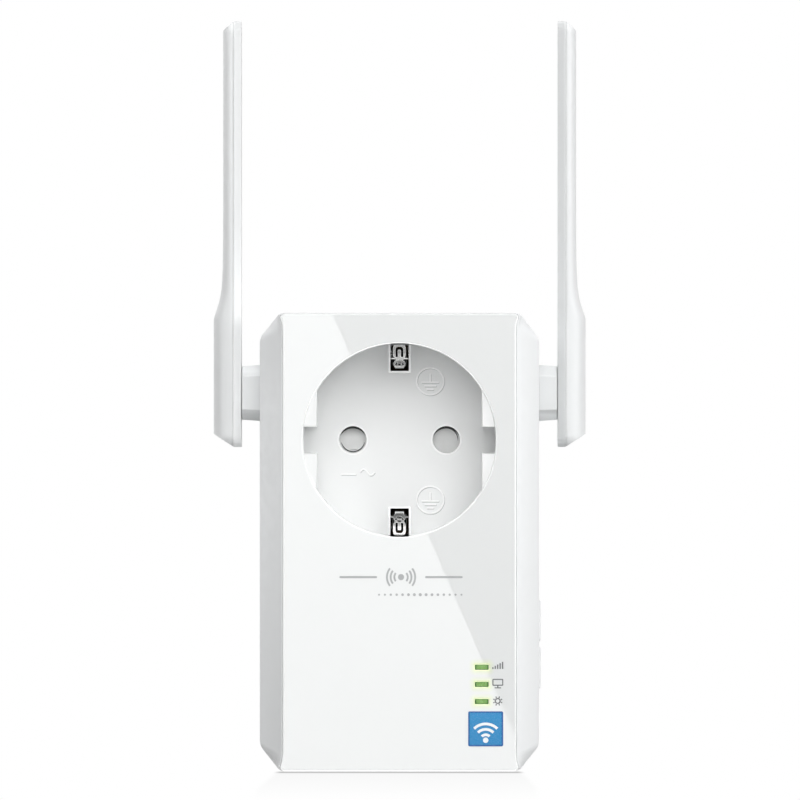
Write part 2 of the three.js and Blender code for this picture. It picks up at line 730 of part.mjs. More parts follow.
for (const [name, z] of [["power", POWER_Z], ["extender", EXTEND_Z]]) {
  add(housing, name + "_button", sideButton(z), SATIN_WHITE, [BUTTON_X, BUTTON_Y, z]);
  add(housing, name + "_switch", sideSwitch(z), BLACK, [21.5, -40, z]);
}

const resetSwitch = block([20.5, 24.3], [-43.2, LOGIC_PART_Y], around(RESET_Z, 1.8)).subtract(
  rodX([BUTTON_Y, RESET_Z], 1.3, [22.3, 25], 14),
);
add(housing, "reset_switch", resetSwitch, BLACK, [22.4, -40, RESET_Z]);
const resetButton = rodX([BUTTON_Y, RESET_Z], 1.1, [22.9, 25.9], 14);
add(housing, "reset_button", resetButton, INNER_WHITE, [24.4, BUTTON_Y, RESET_Z]);

// ---------------------------------------------------------------- antennas
const ANT_BOTTOM_Z = -1.4;
const ANT_TOP_Z = 85.4;
const ANT_FOOT_HALF = 7.3; // half width at the foot, along Y
const ANT_TIP_HALF = 6.3;
const ANT_INNER_X = 32.2; // inner face of the inner cover
const ANT_SPLIT_X = 33.85; // joint between inner cover and outer shell
const ANT_OUTER_X = 37.87; // outer face at the foot
const ANT_SLIM_X = 36.06; // outer face of the slim upper part
const SHELL_WALL = 1.1;

// Side outline of an antenna, Y and Z, moved in by d: slight taper, rounded corners.
function antennaSide(d) {
  const radius = 2.2;
  const footY = ANT_FOOT_HALF - d - radius;
  const tipY = ANT_TIP_HALF - d - radius;
  const lowZ = ANT_BOTTOM_Z + d + radius;
  const highZ = ANT_TOP_Z - d - radius;
  // centre Y and Z of each corner, and the angle in degrees where it starts
  const corners = [
    [PART_Y + footY, lowZ, -90],
    [PART_Y + tipY, highZ, 0],
    [PART_Y - tipY, highZ, 90],
    [PART_Y - footY, lowZ, 180],
  ];
  return corners.flatMap(([y, z, start]) =>
    series(5, (i) => {
      const angle = ((start + (90 * i) / 4) * Math.PI) / 180;
      return [y + radius * Math.cos(angle), z + radius * Math.sin(angle)];
    }),
  );
}

// Front profile of the outer shell, X and Z, moved in by d. The hollow starts inside the joint.
function shellProfile(d) {
  const jointX = ANT_SPLIT_X - (d ? 1 : 0);
  return [
    [jointX, ANT_BOTTOM_Z + d],
    [34.5, ANT_BOTTOM_Z + d],
    [ANT_OUTER_X - d, 1.2 + d * 0.6],
    [ANT_OUTER_X - d, 24.9],
    [37.4 - d, 26.6],
    [36.9 - d, 28.6],
    [36.6 - d, 30.6],
    [36.35 - d, 34.7],
    [36.15 - d, 39.5],
    [ANT_SLIM_X - d, 46],
    [ANT_SLIM_X - d, 83.2 - d * 0.6],
    [34.2, ANT_TOP_Z - d],
    [jointX, ANT_TOP_Z - d],
  ];
}

// Plan section of the outer shell, X and Y: half a superellipse that stands on the joint plane.
function shellSection(d) {
  const halfY = ANT_FOOT_HALF - d;
  const depth = ANT_OUTER_X - ANT_SPLIT_X - d;
  const power = 2 / 2.6;
  const points = series(17, (i) => {
    const angle = (i / 16) * Math.PI;
    const cos = Math.cos(angle);
    return [
      ANT_SPLIT_X + depth * Math.pow(Math.abs(Math.sin(angle)), power),
      PART_Y + halfY * Math.sign(cos) * Math.pow(Math.abs(cos), power),
    ];
  });
  if (d) points.push([ANT_SPLIT_X - 1, PART_Y - halfY], [ANT_SPLIT_X - 1, PART_Y + halfY]);
  return points;
}

// A tapered block held between the housing halves, bored for the antenna shaft.
function knuckle(side) {
  const { halfY, halfZ, chamfer } = KNUCKLE;
  const tipHalfZ = 5.45;
  const taper = [
    [20, PIVOT_Z - 7],
    [BODY_HALF, PIVOT_Z - halfZ],
    [31.8, PIVOT_Z - tipHalfZ],
    [31.8, PIVOT_Z + tipHalfZ],
    [BODY_HALF, PIVOT_Z + halfZ],
    [20, PIVOT_Z + 7],
  ];
  return extrudeX(knuckleSection(halfY, halfZ, chamfer), sided(side, 26, 31.75))
    .intersect(extrudeY(mirrored(side, taper), around(PART_Y, 8)))
    .add(block(sided(side, 24, 26.15), around(PART_Y, 6.8), around(PIVOT_Z, 6.4)))
    .subtract(rodX(AXIS, BORE_R, sided(side, 22, 34), 24));
}

// Hollow shaft with a collar, and a groove for the retaining ring.
function antennaShaft(side) {
  const groove = rodX(AXIS, 5, sided(side, 22.9, 23.7), 24).subtract(
    rodX(AXIS, 2.45, sided(side, 22, 25), 24),
  );
  return cut(
    union(
      rodX(AXIS, 3, sided(side, 22.4, 34.6), 24),
      rodX(AXIS, 4.3, sided(side, 31.86, 32.1), 24),
    ),
    groove,
    rodX(AXIS, 1.2, sided(side, 20, 36), 16),
  );
}

// A flat ring with a gap at the bottom.
const retainingRing = (side) =>
  cut(
    rodX(AXIS, 4.6, sided(side, 23, 23.6), 28),
    rodX(AXIS, 2.6, sided(side, 22, 25), 28),
    block(sided(side, 22, 25), around(PART_Y, 1.1), [PIVOT_Z - 6, PIVOT_Z]),
  );

const innerCover = (side) =>
  extrudeX(antennaSide(0), sided(side, ANT_INNER_X, ANT_SPLIT_X - 0.1)).subtract(
    rodX(AXIS, BORE_R, sided(side, 31, 35), 24),
  );

function outerShell(side) {
  const form = (d) =>
    extrudeZ(mirrored(side, shellSection(d)), [ANT_BOTTOM_Z - 1, ANT_TOP_Z + 1])
      .intersect(extrudeY(mirrored(side, shellProfile(d)), around(PART_Y, 9)))
      .intersect(extrudeX(antennaSide(d), sided(side, ANT_SPLIT_X - 1, 39)));
  return form(0).subtract(form(SHELL_WALL));
}

const antennaElement = (side) =>
  block(sided(side, 33.95, 34.5), around(PART_Y, 4.5), [16, 80]);

// Centre lines for the right side (x, y, z).
// Antenna cable: from the logic board up to the axis, then out through the hollow shaft.
const COAX_PATH = [
  [12, -33, -26.5], [16, -31.5, -21], [19.2, -30.5, -12],
  [19.4, -32, 0], [19.4, -34.8, 7], [20.6, -36, 9.3],
  [22.6, ...AXIS], [28, ...AXIS], [33.5, ...AXIS],
];
// Supply wire: from the terminal block down to the power board.
const WIRE_PATH = [
  [9.5, -26, -6.5], [9.4, -26, -10], [8.4, -26, -16], [6, -25.6, -21],
  [4.3, -24.6, -24], [4, -23.2, -24.8], [4, -21.5, -24.9],
];

for (const [hand, side] of HANDS) {
  const pivot = [side * PIVOT_X, ...AXIS];
  const onSide = (path) => path.map(([x, y, z]) => [side * x, y, z]);
  add(housing, "knuckle_" + hand, knuckle(side), SATIN_WHITE, [side * 28, ...AXIS]);

  // the antenna's own group turns about its shaft
  const antenna = addGroup(extender, ...pivot);
  const prefix = "antenna_" + hand;
  add(antenna, prefix + "_shaft", antennaShaft(side), INNER_WHITE, pivot);
  add(antenna, prefix + "_retaining_ring", retainingRing(side), STEEL, pivot);
  add(antenna, prefix + "_inner_cover", innerCover(side), SATIN_WHITE, pivot);
  add(antenna, prefix + "_outer_shell", outerShell(side), SATIN_WHITE, pivot);
  add(antenna, prefix + "_element", antennaElement(side), COPPER, pivot);

  const coax = cable(onSide(COAX_PATH), 0.57, 22, 6);
  add(housing, "coax_" + hand, coax, DARK_GREY, [side * 20, -33, 0]);
  const [wireName, wireLook] = side > 0 ? ["wire_live", WIRE_BROWN] : ["wire_neutral", WIRE_BLUE];
  const wire = cable(onSide(WIRE_PATH), 0.8, 12, 6);
  add(housing, wireName, wire, wireLook, [side * 8, -26, -15]);
}

// ---------------------------------------------------------------- housing screws
const SCREW_SEAT_Y = -26.9; // underside of the head
// Radius and Y, from the tip at the front to the head at the back.
const SCREW_PROFILE = [
  [0, -46], [0.35, -46], [1.05, -44.6], [1.05, SCREW_SEAT_Y],
  [2.5, SCREW_SEAT_Y], [2.5, -25.6], [1.9, -25.0], [0, -25.0],
];

function housingScrew([x, z]) {
  const slotY = [-26, -24];
  const halfWidth = 0.35;
  const halfLength = 1.4;
  return cut(
    latheY([x, z], SCREW_PROFILE, 12),
    block(around(x, halfWidth), slotY, around(z, halfLength)),
    block(around(x, halfLength), slotY, around(z, halfWidth)),
  );
}
BOSSES.forEach(([x, z], i) =>
  add(housing, "housing_screw_" + (i + 1), housingScrew([x, z]), STEEL, [x, SCREW_SEAT_Y, z]),
);

export default extender;
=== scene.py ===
"""A white wireless extender that plugs into a wall outlet: a slab-shaped body with a glossy front
panel, a mains outlet in its front, a mains plug at its back and an antenna hinged on each side.

Lengths are in millimetres and become metres only where meshes, nodes and lights are made.
x runs to the right as seen from the front, y from the front towards the wall, z upwards.
The outlet and the plug share the y axis.
"""

import json
import math

import bmesh
import bpy
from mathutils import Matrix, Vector
from mathutils.geometry import tessellate_polygon


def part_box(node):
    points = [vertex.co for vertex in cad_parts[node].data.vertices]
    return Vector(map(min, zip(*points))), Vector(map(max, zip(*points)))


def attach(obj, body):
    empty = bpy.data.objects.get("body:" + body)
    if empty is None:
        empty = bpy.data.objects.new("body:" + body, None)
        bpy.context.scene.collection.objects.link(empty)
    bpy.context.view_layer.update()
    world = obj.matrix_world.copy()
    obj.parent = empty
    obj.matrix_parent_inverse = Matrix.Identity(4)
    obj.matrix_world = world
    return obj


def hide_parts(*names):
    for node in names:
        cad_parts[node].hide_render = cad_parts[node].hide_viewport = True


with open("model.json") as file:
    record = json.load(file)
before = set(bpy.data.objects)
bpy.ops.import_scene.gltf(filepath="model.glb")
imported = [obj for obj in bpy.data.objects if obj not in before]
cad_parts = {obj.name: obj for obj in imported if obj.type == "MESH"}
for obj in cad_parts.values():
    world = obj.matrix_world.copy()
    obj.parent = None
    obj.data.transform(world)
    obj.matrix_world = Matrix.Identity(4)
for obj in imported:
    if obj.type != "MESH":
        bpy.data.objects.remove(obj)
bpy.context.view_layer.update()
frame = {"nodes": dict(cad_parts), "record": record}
MM = 0.001


# ------------------------------------------------------------------ sizes read from the frame


def mm_box(node):
    low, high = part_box(node)
    return [v / MM for v in low], [v / MM for v in high]


def centre_xz(node):
    low, high = mm_box(node)
    return (low[0] + high[0]) / 2, (low[2] + high[2]) / 2


PANEL_LO, PANEL_HI = mm_box("front_panel")
FRONT_LO, FRONT_HI = mm_box("front_housing")
REAR_LO, REAR_HI = mm_box("rear_housing")
SHAFT_LO, SHAFT_HI = mm_box("antenna_right_shaft")

PANEL_FRONT, PANEL_BACK = PANEL_LO[1], PANEL_HI[1]
PANEL_BED = PANEL_FRONT + 2.1  # floor of the pocket that holds the panel
SEAM_FRONT, SEAM_REAR = FRONT_HI[1], REAR_LO[1]  # the two lips of the housing's seam
REAR_FACE = REAR_HI[1]
HALF_WIDTH = FRONT_HI[0]
TOP, BOTTOM = FRONT_HI[2], FRONT_LO[2]
MID_Z = (TOP + BOTTOM) / 2
HALF_HEIGHT = TOP - MID_Z
HINGE_Y = (SEAM_FRONT + SEAM_REAR) / 2
HINGE_Z = (SHAFT_LO[2] + SHAFT_HI[2]) / 2
WINDOWS = [centre_xz("led_" + name) for name in ("signal", "network", "power")]

# ------------------------------------------------------------------ shared sizes

WALL = 2.0
SCREWS = [(x, z) for x in (-22.8, 22.8) for z in (19.6, -60.6)]
CUP_R = 19.5  # the outlet's recess
CUP_FLOOR, CUP_BACK = -40.3, -38.3  # front and rear of the recess's floor
KEY_X = 16.7  # inner face of the key blocks at the recess's sides
NOTCH = 2.65  # half height of the notch between two key blocks
PIN_X = 9.5
BUTTON_Y, POWER_Z, EXTEND_Z, RESET_Z = -41.0, -36.75, -46.35, -54.0
BADGE_X, BADGE_Z, BADGE_SIZE = 17.45, -58.35, 7.07
# half depth, half height and corner cut of a hinge block and of the gap it sits in
KNUCKLE = (6.0, 5.7, 2.2)
KNUCKLE_GAP = (6.12, 5.82, 2.24)

# ------------------------------------------------------------------ 2D outlines


def arc(x, y, radius, start, end, steps):
    """Points on an arc; the angles are in degrees."""
    turns = [math.radians(start + (end - start) * i / steps) for i in range(steps + 1)]
    return [(x + radius * math.cos(t), y + radius * math.sin(t)) for t in turns]


def circle(x, y, radius, steps):
    turns = [2 * math.pi * (i + 0.5) / steps for i in range(steps)]
    return [(x + radius * math.cos(t), y + radius * math.sin(t)) for t in turns]


def area(points):
    following = points[1:] + points[:1]
    return 0.5 * sum(p[0] * q[1] - q[0] * p[1] for p, q in zip(points, following))


def ccw(points):
    return points if area(points) > 0 else points[::-1]


def cw(points):
    return points if area(points) < 0 else points[::-1]


def rounded(points, radius, steps=6):
    """A closed outline with each corner turned into an arc."""
    out = []
    for i, point in enumerate(points):
        corner = Vector(point)
        to_last = Vector(points[i - 1]) - corner
        to_next = Vector(points[(i + 1) % len(points)]) - corner
        longest = min(to_last.length, to_next.length) * 0.49
        to_last.normalize()
        to_next.normalize()
        half = math.acos(max(-1, min(1, to_last.dot(to_next)))) / 2
        setback = min(radius / math.tan(half), longest)
        bend = setback * math.tan(half)
        centre = corner + (to_last + to_next).normalized() * (bend / math.sin(half))
        first = corner + to_last * setback - centre
        last = corner + to_next * setback - centre
        start = math.atan2(first.y, first.x)
        sweep = math.atan2(last.y, last.x) - start
        while sweep > math.pi:
            sweep -= 2 * math.pi
        while sweep < -math.pi:
            sweep += 2 * math.pi
        for k in range(steps + 1):
            turn = start + sweep * k / steps
            out.append((centre.x + bend * math.cos(turn), centre.y + bend * math.sin(turn)))
    return out


def rect(x, y, width, height, radius=0.0, steps=5):
    points = [
        (x - width / 2, y - height / 2),
        (x + width / 2, y - height / 2),
        (x + width / 2, y + height / 2),
        (x - width / 2, y + height / 2),
    ]
    return rounded(points, radius, steps) if radius > 0 else points


def stadium(x, y, width, height):
    return rounded(rect(x, y, width, height), min(width, height) / 2 * 0.999, 8)


def ring_sector(x, y, inner, outer, start, end, steps):
    return arc(x, y, outer, start, end, steps) + arc(x, y, inner, end, start, steps)


def octagon(half_y, half_z, corner):
    """The hinge's outline in y and z, round the hinge axis."""
    right, left = HINGE_Y + half_y, HINGE_Y - half_y
    top, low = HINGE_Z + half_z, HINGE_Z - half_z
    points = [
        (right, top - corner), (right - corner, top), (left + corner, top), (left, top - corner),
        (left, low + corner), (left + corner, low), (right - corner, low), (right, low + corner),
    ]
    return rounded(points, 0.4, 4)


def shift_in(points, distance):
    """Moves a closed outline to its left, mitred at the corners."""
    if abs(distance) < 1e-9:
        return list(points)
    out = []
    for i, here in enumerate(points):
        before, after = points[i - 1], points[(i + 1) % len(points)]
        edge_in = Vector((here[0] - before[0], here[1] - before[1])).normalized()
        edge_out = Vector((after[0] - here[0], after[1] - here[1])).normalized()
        normal_in = Vector((-edge_in.y, edge_in.x))
        normal_out = Vector((-edge_out.y, edge_out.x))
        mitre = (normal_in + normal_out) / max(1 + normal_in.dot(normal_out), 0.25)
        out.append((here[0] + mitre.x * distance, here[1] + mitre.y * distance))
    return out


def along(points, steps):
    """steps + 1 points evenly spaced by length on a polyline."""
    lengths = [math.dist(points[i], points[i + 1]) for i in range(len(points) - 1)]
    total = sum(lengths)
    out = []
    for k in range(steps + 1):
        left = total * k / steps
        i = 0
        while i < len(lengths) - 1 and left > lengths[i]:
            left -= lengths[i]
            i += 1
        share = min(1.0, left / lengths[i])
        (x0, y0), (x1, y1) = points[i], points[i + 1]
        out.append((x0 + (x1 - x0) * share, y0 + (y1 - y0) * share))
    return out


def bezier(start, pull, end, steps):
    """steps + 1 points on a quadratic curve."""

    def at(t, i):
        return (1 - t) ** 2 * start[i] + 2 * t * (1 - t) * pull[i] + t * t * end[i]

    return [(at(k / steps, 0), at(k / steps, 1)) for k in range(steps + 1)]


def quarter_round(part):
    """At a part of a quarter turn, 1 - cosine and 1 - sine: a round's inset and its depth."""
    turn = math.pi / 2 * part
    return 1 - math.cos(turn), 1 - math.sin(turn)


def span(side, near, far):
    """The range from near to far on one side of the middle (side is -1 or 1), low end first."""
    return sorted((side * near, side * far))


def lift(point, depth, axis):
    """A 2D point placed at a depth on the given axis."""
    a, b = point
    if axis == "y":
        return (a, depth, b)
    if axis == "x":
        return (depth, a, b)
    return (a, b, depth)


def ring(outline, depth, axis="y"):
    return [lift(p, depth, axis) for p in outline]


# ------------------------------------------------------------------ solids


def link(name, mesh):
    ob = bpy.data.objects.new(name, mesh)
    bpy.context.scene.collection.objects.link(ob)
    return ob


def to_object(name, verts, faces):
    bm = bmesh.new()
    made = [bm.verts.new((x * MM, y * MM, z * MM)) for x, y, z in verts]
    for face in faces:
        # guards against a face that is already there or that meets a vertex twice
        try:
            bm.faces.new([made[i] for i in face])
        except ValueError:
            pass
    bmesh.ops.remove_doubles(bm, verts=bm.verts, dist=2e-7)
    bmesh.ops.recalc_face_normals(bm, faces=bm.faces)
    mesh = bpy.data.meshes.new(name)
    bm.to_mesh(mesh)
    bm.free()
    return link(name, mesh)


def edge_rings(start, end, round0, round1, steps):
    """The (depth, inset) pairs of a slab's rim."""
    rings = [(start, 0.0)]
    if round0 > 0:
        turns = [quarter_round(k / steps) for k in range(steps + 1)]
        rings = [(start + round0 * c, round0 * s) for c, s in turns]
    if round1 > 0:
        turns = [quarter_round(1 - k / steps) for k in range(steps + 1)]
        return rings + [(end - round1 * c, round1 * s) for c, s in turns]
    return rings + [(end, 0.0)]


def plate(name, outline, holes, start, end, round0=0.0, round1=0.0, steps=4, axis="y",
          hole_round0=None, hole_round1=None):
    """A slab between two planes, with edges rounded by round0 at start and round1 at end.
    Holes take the same radii unless they are given their own."""
    verts, faces = [], []
    caps = ([], [])
    for number, loop in enumerate([ccw(outline)] + [cw(h) for h in holes]):
        first = round0 if number == 0 or hole_round0 is None else hole_round0
        last = round1 if number == 0 or hole_round1 is None else hole_round1
        rings = edge_rings(start, end, first, last, steps)
        base = len(verts)
        count = len(loop)
        for depth, inset in rings:
            verts += ring(shift_in(loop, inset), depth, axis)
        for k in range(len(rings) - 1):
            low, high = base + k * count, base + (k + 1) * count
            for i in range(count):
                j = (i + 1) % count
                faces.append((low + i, low + j, high + j, high + i))
        caps[0].append([base + i for i in range(count)])
        caps[1].append([base + (len(rings) - 1) * count + i for i in range(count)])
    for cap in caps:
        flat = [i for loop in cap for i in loop]
        if len(cap) == 1 and len(flat) <= 4:
            faces.append(tuple(flat))
        else:
            for triangle in tessellate_polygon([[Vector(verts[i]) for i in loop] for loop in cap]):
                faces.append(tuple(flat[i] for i in triangle))
    return to_object(name, verts, faces)


def loft(name, rings):
    """A closed skin through rings of equal length, capped at both ends."""
    count = len(rings[0])
    faces = []
    for k in range(len(rings) - 1):
        low, high = k * count, (k + 1) * count
        for i in range(count):
            j = (i + 1) % count
            faces.append((low + i, low + j, high + j, high + i))
    faces.append(tuple(range(count)))
    faces.append(tuple((len(rings) - 1) * count + i for i in range(count)))
    return to_object(name, [p for r in rings for p in r], faces)


def revolve(name, profile, axis, centre, steps=64, closed=False):
    """Turns (radius, depth) pairs round an axis through centre (two coordinates)."""
    verts, faces = [], []
    for i in range(steps):
        turn = 2 * math.pi * (i + 0.5) / steps
        for radius, depth in profile:
            point = (centre[0] + radius * math.cos(turn), centre[1] + radius * math.sin(turn))
            verts.append(lift(point, depth, axis))
    count = len(profile)
    for i in range(steps):
        here, there = i * count, (i + 1) % steps * count
        for k in range(count if closed else count - 1):
            after = (k + 1) % count
            faces.append((here + k, here + after, there + after, there + k))
    return to_object(name, verts, faces)


def bar(x0, x1, y0, y1, z0, z1):
    return plate("bar", [(x0, z0), (x1, z0), (x1, z1), (x0, z1)], [], y0, y1)


SOLVERS = bpy.types.BooleanModifier.bl_rna.properties["solver"].enum_items.keys()
SOLVER = "MANIFOLD" if "MANIFOLD" in SOLVERS else "EXACT"


def bake(ob):
    """Applies ob's modifiers into a new mesh."""
    graph = bpy.context.evaluated_depsgraph_get()
    graph.update()
    new = bpy.data.meshes.new_from_object(ob.evaluated_get(graph))
    ob.modifiers.clear()
    old = ob.data
    ob.data = new
    new.name = ob.name
    bpy.data.meshes.remove(old)


def boolean(target, tools, operation):
    for tool in tools:
        mod = target.modifiers.new("cut", "BOOLEAN")
        mod.object = tool
        mod.operation = operation
        mod.solver = SOLVER
        bake(target)
        bpy.data.objects.remove(tool)


def cut(target, *tools):
    boolean(target, tools, "DIFFERENCE")


def fuse(target, *tools):
    boolean(target, tools, "UNION")


def joined(name, parts):
    """Several separate shells in one mesh."""
    bm = bmesh.new()
    for part in parts:
        bm.from_mesh(part.data)
    mesh = bpy.data.meshes.new(name)
    bm.to_mesh(mesh)
    bm.free()
    for part in parts:
        bpy.data.objects.remove(part)
    return link(name, mesh)


def tidy(ob):
    """Merges stray vertices and collapses the tiny edges left by a cut."""
    bm = bmesh.new()
    bm.from_mesh(ob.data)
    bmesh.ops.remove_doubles(bm, verts=bm.verts, dist=1.5e-6)
    bmesh.ops.dissolve_degenerate(bm, dist=1e-6, edges=bm.edges)
    bm.to_mesh(ob.data)
    bm.free()


def hold_flat(mesh):
    """Marks the border of faces that look straight forward as sharp, so that they shade flat."""
    bm = bmesh.new()
    bm.from_mesh(mesh)
    for edge in bm.edges:
        if len(edge.link_faces) == 2:
            one, other = (face.normal.y < -0.99999 for face in edge.link_faces)
            if one != other:
                edge.smooth = False
    bm.to_mesh(mesh)
    bm.free()


def shade(mesh, material, sharp):
    """Gives a mesh one material and smooth shading up to the angle sharp, in degrees."""
    mesh.materials.clear()
    mesh.materials.append(material)
    for face in mesh.polygons:
        face.use_smooth = True
        face.material_index = 0
    mesh.set_sharp_from_angle(angle=math.radians(sharp))


def add_bevel(ob, name, width, segments, angle):
    mod = ob.modifiers.new(name, "BEVEL")
    mod.width = width * MM
    mod.segments = segments
    mod.limit_method = "ANGLE"
    mod.angle_limit = math.radians(angle)


def weigh_normals(ob):
    mod = ob.modifiers.new("normals", "WEIGHTED_NORMAL")
    mod.keep_sharp = True
    mod.weight = 100


def finish(ob, body, slot, nodes=(), look=None, sharp=32, weighted=True, bevel=None, flat=False):
    shade(ob.data, LOOKS[look or slot], sharp)
    if flat:
        hold_flat(ob.data)
    if bevel:
        add_bevel(ob, "edge", bevel, segments=3, angle=35)
    if weighted:
        weigh_normals(ob)
    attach(ob, body)
    if nodes:
        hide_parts(*nodes)


# ------------------------------------------------------------------ shader networks


class Network:
    """The shader nodes of a material or world, with short calls for the kinds used here."""

    def __init__(self, owner, output="ShaderNodeOutputMaterial"):
        owner.use_nodes = True
        self.owner = owner
        self.tree = owner.node_tree
        self.tree.nodes.clear()
        self.out = self.node(output)

    def feed(self, socket, value):
        if isinstance(value, bpy.types.NodeSocket):
            self.tree.links.new(value, socket)
        elif socket.type == "RGBA":
            socket.default_value = (*value[:3], 1.0)
        else:
            socket.default_value = value

    def node(self, kind, inputs=None, **props):
        made = self.tree.nodes.new(kind)
        for key, value in props.items():
            setattr(made, key, value)
        for key, value in (inputs or {}).items():
            self.feed(made.inputs[key], value)
        return made

    def math(self, operation, a, b=0.0, clamp=False):
        made = self.node("ShaderNodeMath", {0: a, 1: b}, operation=operation, use_clamp=clamp)
        return made.outputs[0]

    def add(self, a, b):
        return self.math("ADD", a, b)

    def sub(self, a, b):
        return self.math("SUBTRACT", a, b)

    def mul(self, a, b):
        return self.math("MULTIPLY", a, b)

    def size(self, a):
        return self.math("ABSOLUTE", a)

    def vector(self, operation, a, b=(0, 0, 0)):
        made = self.node("ShaderNodeVectorMath", {0: a, 1: b}, operation=operation)
        return made.outputs[1 if operation in ("DOT_PRODUCT", "LENGTH") else 0]

    def place(self):
        return self.node("ShaderNodeTexCoord").outputs["Object"]

    def axes(self, vector):
        """The x, y and z sockets of a vector."""
        return self.node("ShaderNodeSeparateXYZ", {0: vector}).outputs

    def scaled(self, vector, scale):
        return self.node("ShaderNodeMapping", {"Vector": vector, "Scale": scale}).outputs[0]

    def noise(self, vector, size, detail=2.0, rough=0.5):
        """Noise whose features are about size millimetres across."""
        inputs = {"Vector": vector, "Scale": 1.0 / (size * MM), "Detail": detail}
        return self.node("ShaderNodeTexNoise", {**inputs, "Roughness": rough}).outputs["Fac"]

    def ramp(self, value, over, to=(0.0, 1.0), smooth=False):
        """Maps the range over onto the range to, held at its ends."""
        return self.node(
            "ShaderNodeMapRange",
            {0: value, 1: over[0], 2: over[1], 3: to[0], 4: to[1]},
            interpolation_type="SMOOTHSTEP" if smooth else "LINEAR",
            clamp=True,
        ).outputs[0]

    def ramp_mm(self, value, over, to=(0.0, 1.0), smooth=False):
        """A ramp over a length, given in millimetres."""
        return self.ramp(value, (over[0] * MM, over[1] * MM), to, smooth)

    def mix(self, share, a, b):
        """Colour a at share 0, colour b at share 1."""
        return self.node("ShaderNodeMix", {0: share, 6: a, 7: b}, data_type="RGBA").outputs[2]

    def bump(self, height, strength, depth):
        inputs = {"Height": height, "Strength": strength, "Distance": depth * MM}
        return self.node("ShaderNodeBump", inputs).outputs[0]

    def edges(self, radius=0.25):
        """1 on convex and concave edges, 0 on open surface."""
        soft = self.node("ShaderNodeBevel", {"Radius": radius * MM}, samples=4).outputs[0]
        true = self.node("ShaderNodeNewGeometry").outputs["Normal"]
        return self.ramp(self.vector("DOT_PRODUCT", soft, true), over=(0.985, 0.88))

    def mix_shaders(self, share, a, b):
        return self.node("ShaderNodeMixShader", {0: share, 1: a, 2: b}).outputs[0]

    def emission(self, strength):
        inputs = {"Color": (1, 1, 1), "Strength": strength}
        return self.node("ShaderNodeEmission", inputs).outputs[0]

    def finish(self, surface):
        self.tree.links.new(surface, self.out.inputs[0])
        return self.owner

    def principled(self, **inputs):
        """Ends the network in a principled surface; an underscore stands for a space."""
        named = {key.replace("_", " "): value for key, value in inputs.items()}
        return self.finish(self.node("ShaderNodeBsdfPrincipled", named).outputs[0])


def network(name):
    return Network(bpy.data.materials.new(name))


# ranges of a noise's value: its soft middle and a tighter one
SOFT, TIGHT = (0.3, 0.7), (0.35, 0.65)
FALL = (1.0, 0.0)


def around(value, reach):
    return (value - reach, value + reach)


def toned(colour, factor):
    return [c * factor for c in colour]


# ------------------------------------------------------------------ moulded plastic

VARY = 0.012  # how much darker the mottling gets


def speckled(colour):
    return toned(colour, 1 - VARY * 0.8)


def rubbed(colour):
    return [min(1.0, c * 1.05 + 0.01) for c in colour]


def clouded(net, place, colour):
    """A broad noise and the tint it gives."""
    cloud = net.noise(place, size=17.0)
    return cloud, net.mix(net.ramp(cloud, SOFT), toned(colour, 1 - VARY), colour)


# A tone function returns the colours of the open surface, the speckles and the rubbed edges.


def plain_tones(net, place, colour):
    return clouded(net, place, colour)[1], speckled(colour), rubbed(colour)


def painted_shade_rising(net, place, colour):
    """Painted shade: drifts to a darker tone between two heights."""
    upper = (0.685, 0.695, 0.698)
    tint = clouded(net, place, colour)[1]
    high = net.ramp_mm(net.axes(place)[2], over=(10, 48), smooth=True)
    return (
        net.mix(high, tint, upper),
        net.mix(high, speckled(colour), speckled(upper)),
        net.mix(high, rubbed(colour), rubbed(upper)),
    )


def hinge_painted_light(net, place, colour):
    """Painted light and shade: gives the hinge blocks' upper and lower slanted faces
    their own tones, left and right.
    """
    cloud, tint = clouded(net, place, colour)
    x, _, z = net.axes(place)
    top = net.ramp_mm(z, over=(13.3, 13.9))
    low = net.ramp_mm(z, over=(5.7, 5.1))
    on_left = net.mix(top, net.mix(low, toned(colour, 1.09), colour), toned(colour, 1.21))
    on_right = net.mix(top, net.mix(low, toned(colour, 0.96), toned(colour, 1.24)), colour)
    faces = net.mix(net.ramp_mm(x, over=(-1, 1), to=FALL), on_right, on_left)
    tint = net.mix(net.ramp(cloud, SOFT, to=(0.93, 1.0)), tint, faces)
    return tint, tint, rubbed(colour)


def flank_painted_light(net, place, colour):
    """Painted light and shade: drifts a few percent across and along the housing's
    two slanted flanks.
    """
    x, _, z = net.axes(place)
    rise = net.mul(net.ramp_mm(z, over=(-55, -12)), net.ramp_mm(z, over=(6, 20), to=FALL))
    across = net.size(x)
    flank = net.ramp_mm(across, over=(20.5, 22.8))
    inner = net.ramp_mm(across, over=(27.4, 23.4))
    # painted light and shade: how much the rise and the inner edge lighten or darken each flank
    left = net.sub(net.mul(rise, 0.145), net.mul(inner, 0.09))
    right = net.sub(net.mul(inner, net.add(net.mul(rise, 0.03), 0.075)), 0.02)
    is_left = net.ramp_mm(x, over=(-5, 5), to=FALL)
    flank_light = net.add(net.mul(left, is_left), net.mul(right, net.sub(1.0, is_left)))
    flank_light = net.mul(flank_light, flank)
    share = net.ramp(flank_light, over=(-0.12, 0.16))
    tint = net.mix(share, toned(colour, 0.88), toned(colour, 1.16))
    return tint, speckled(colour), rubbed(colour)


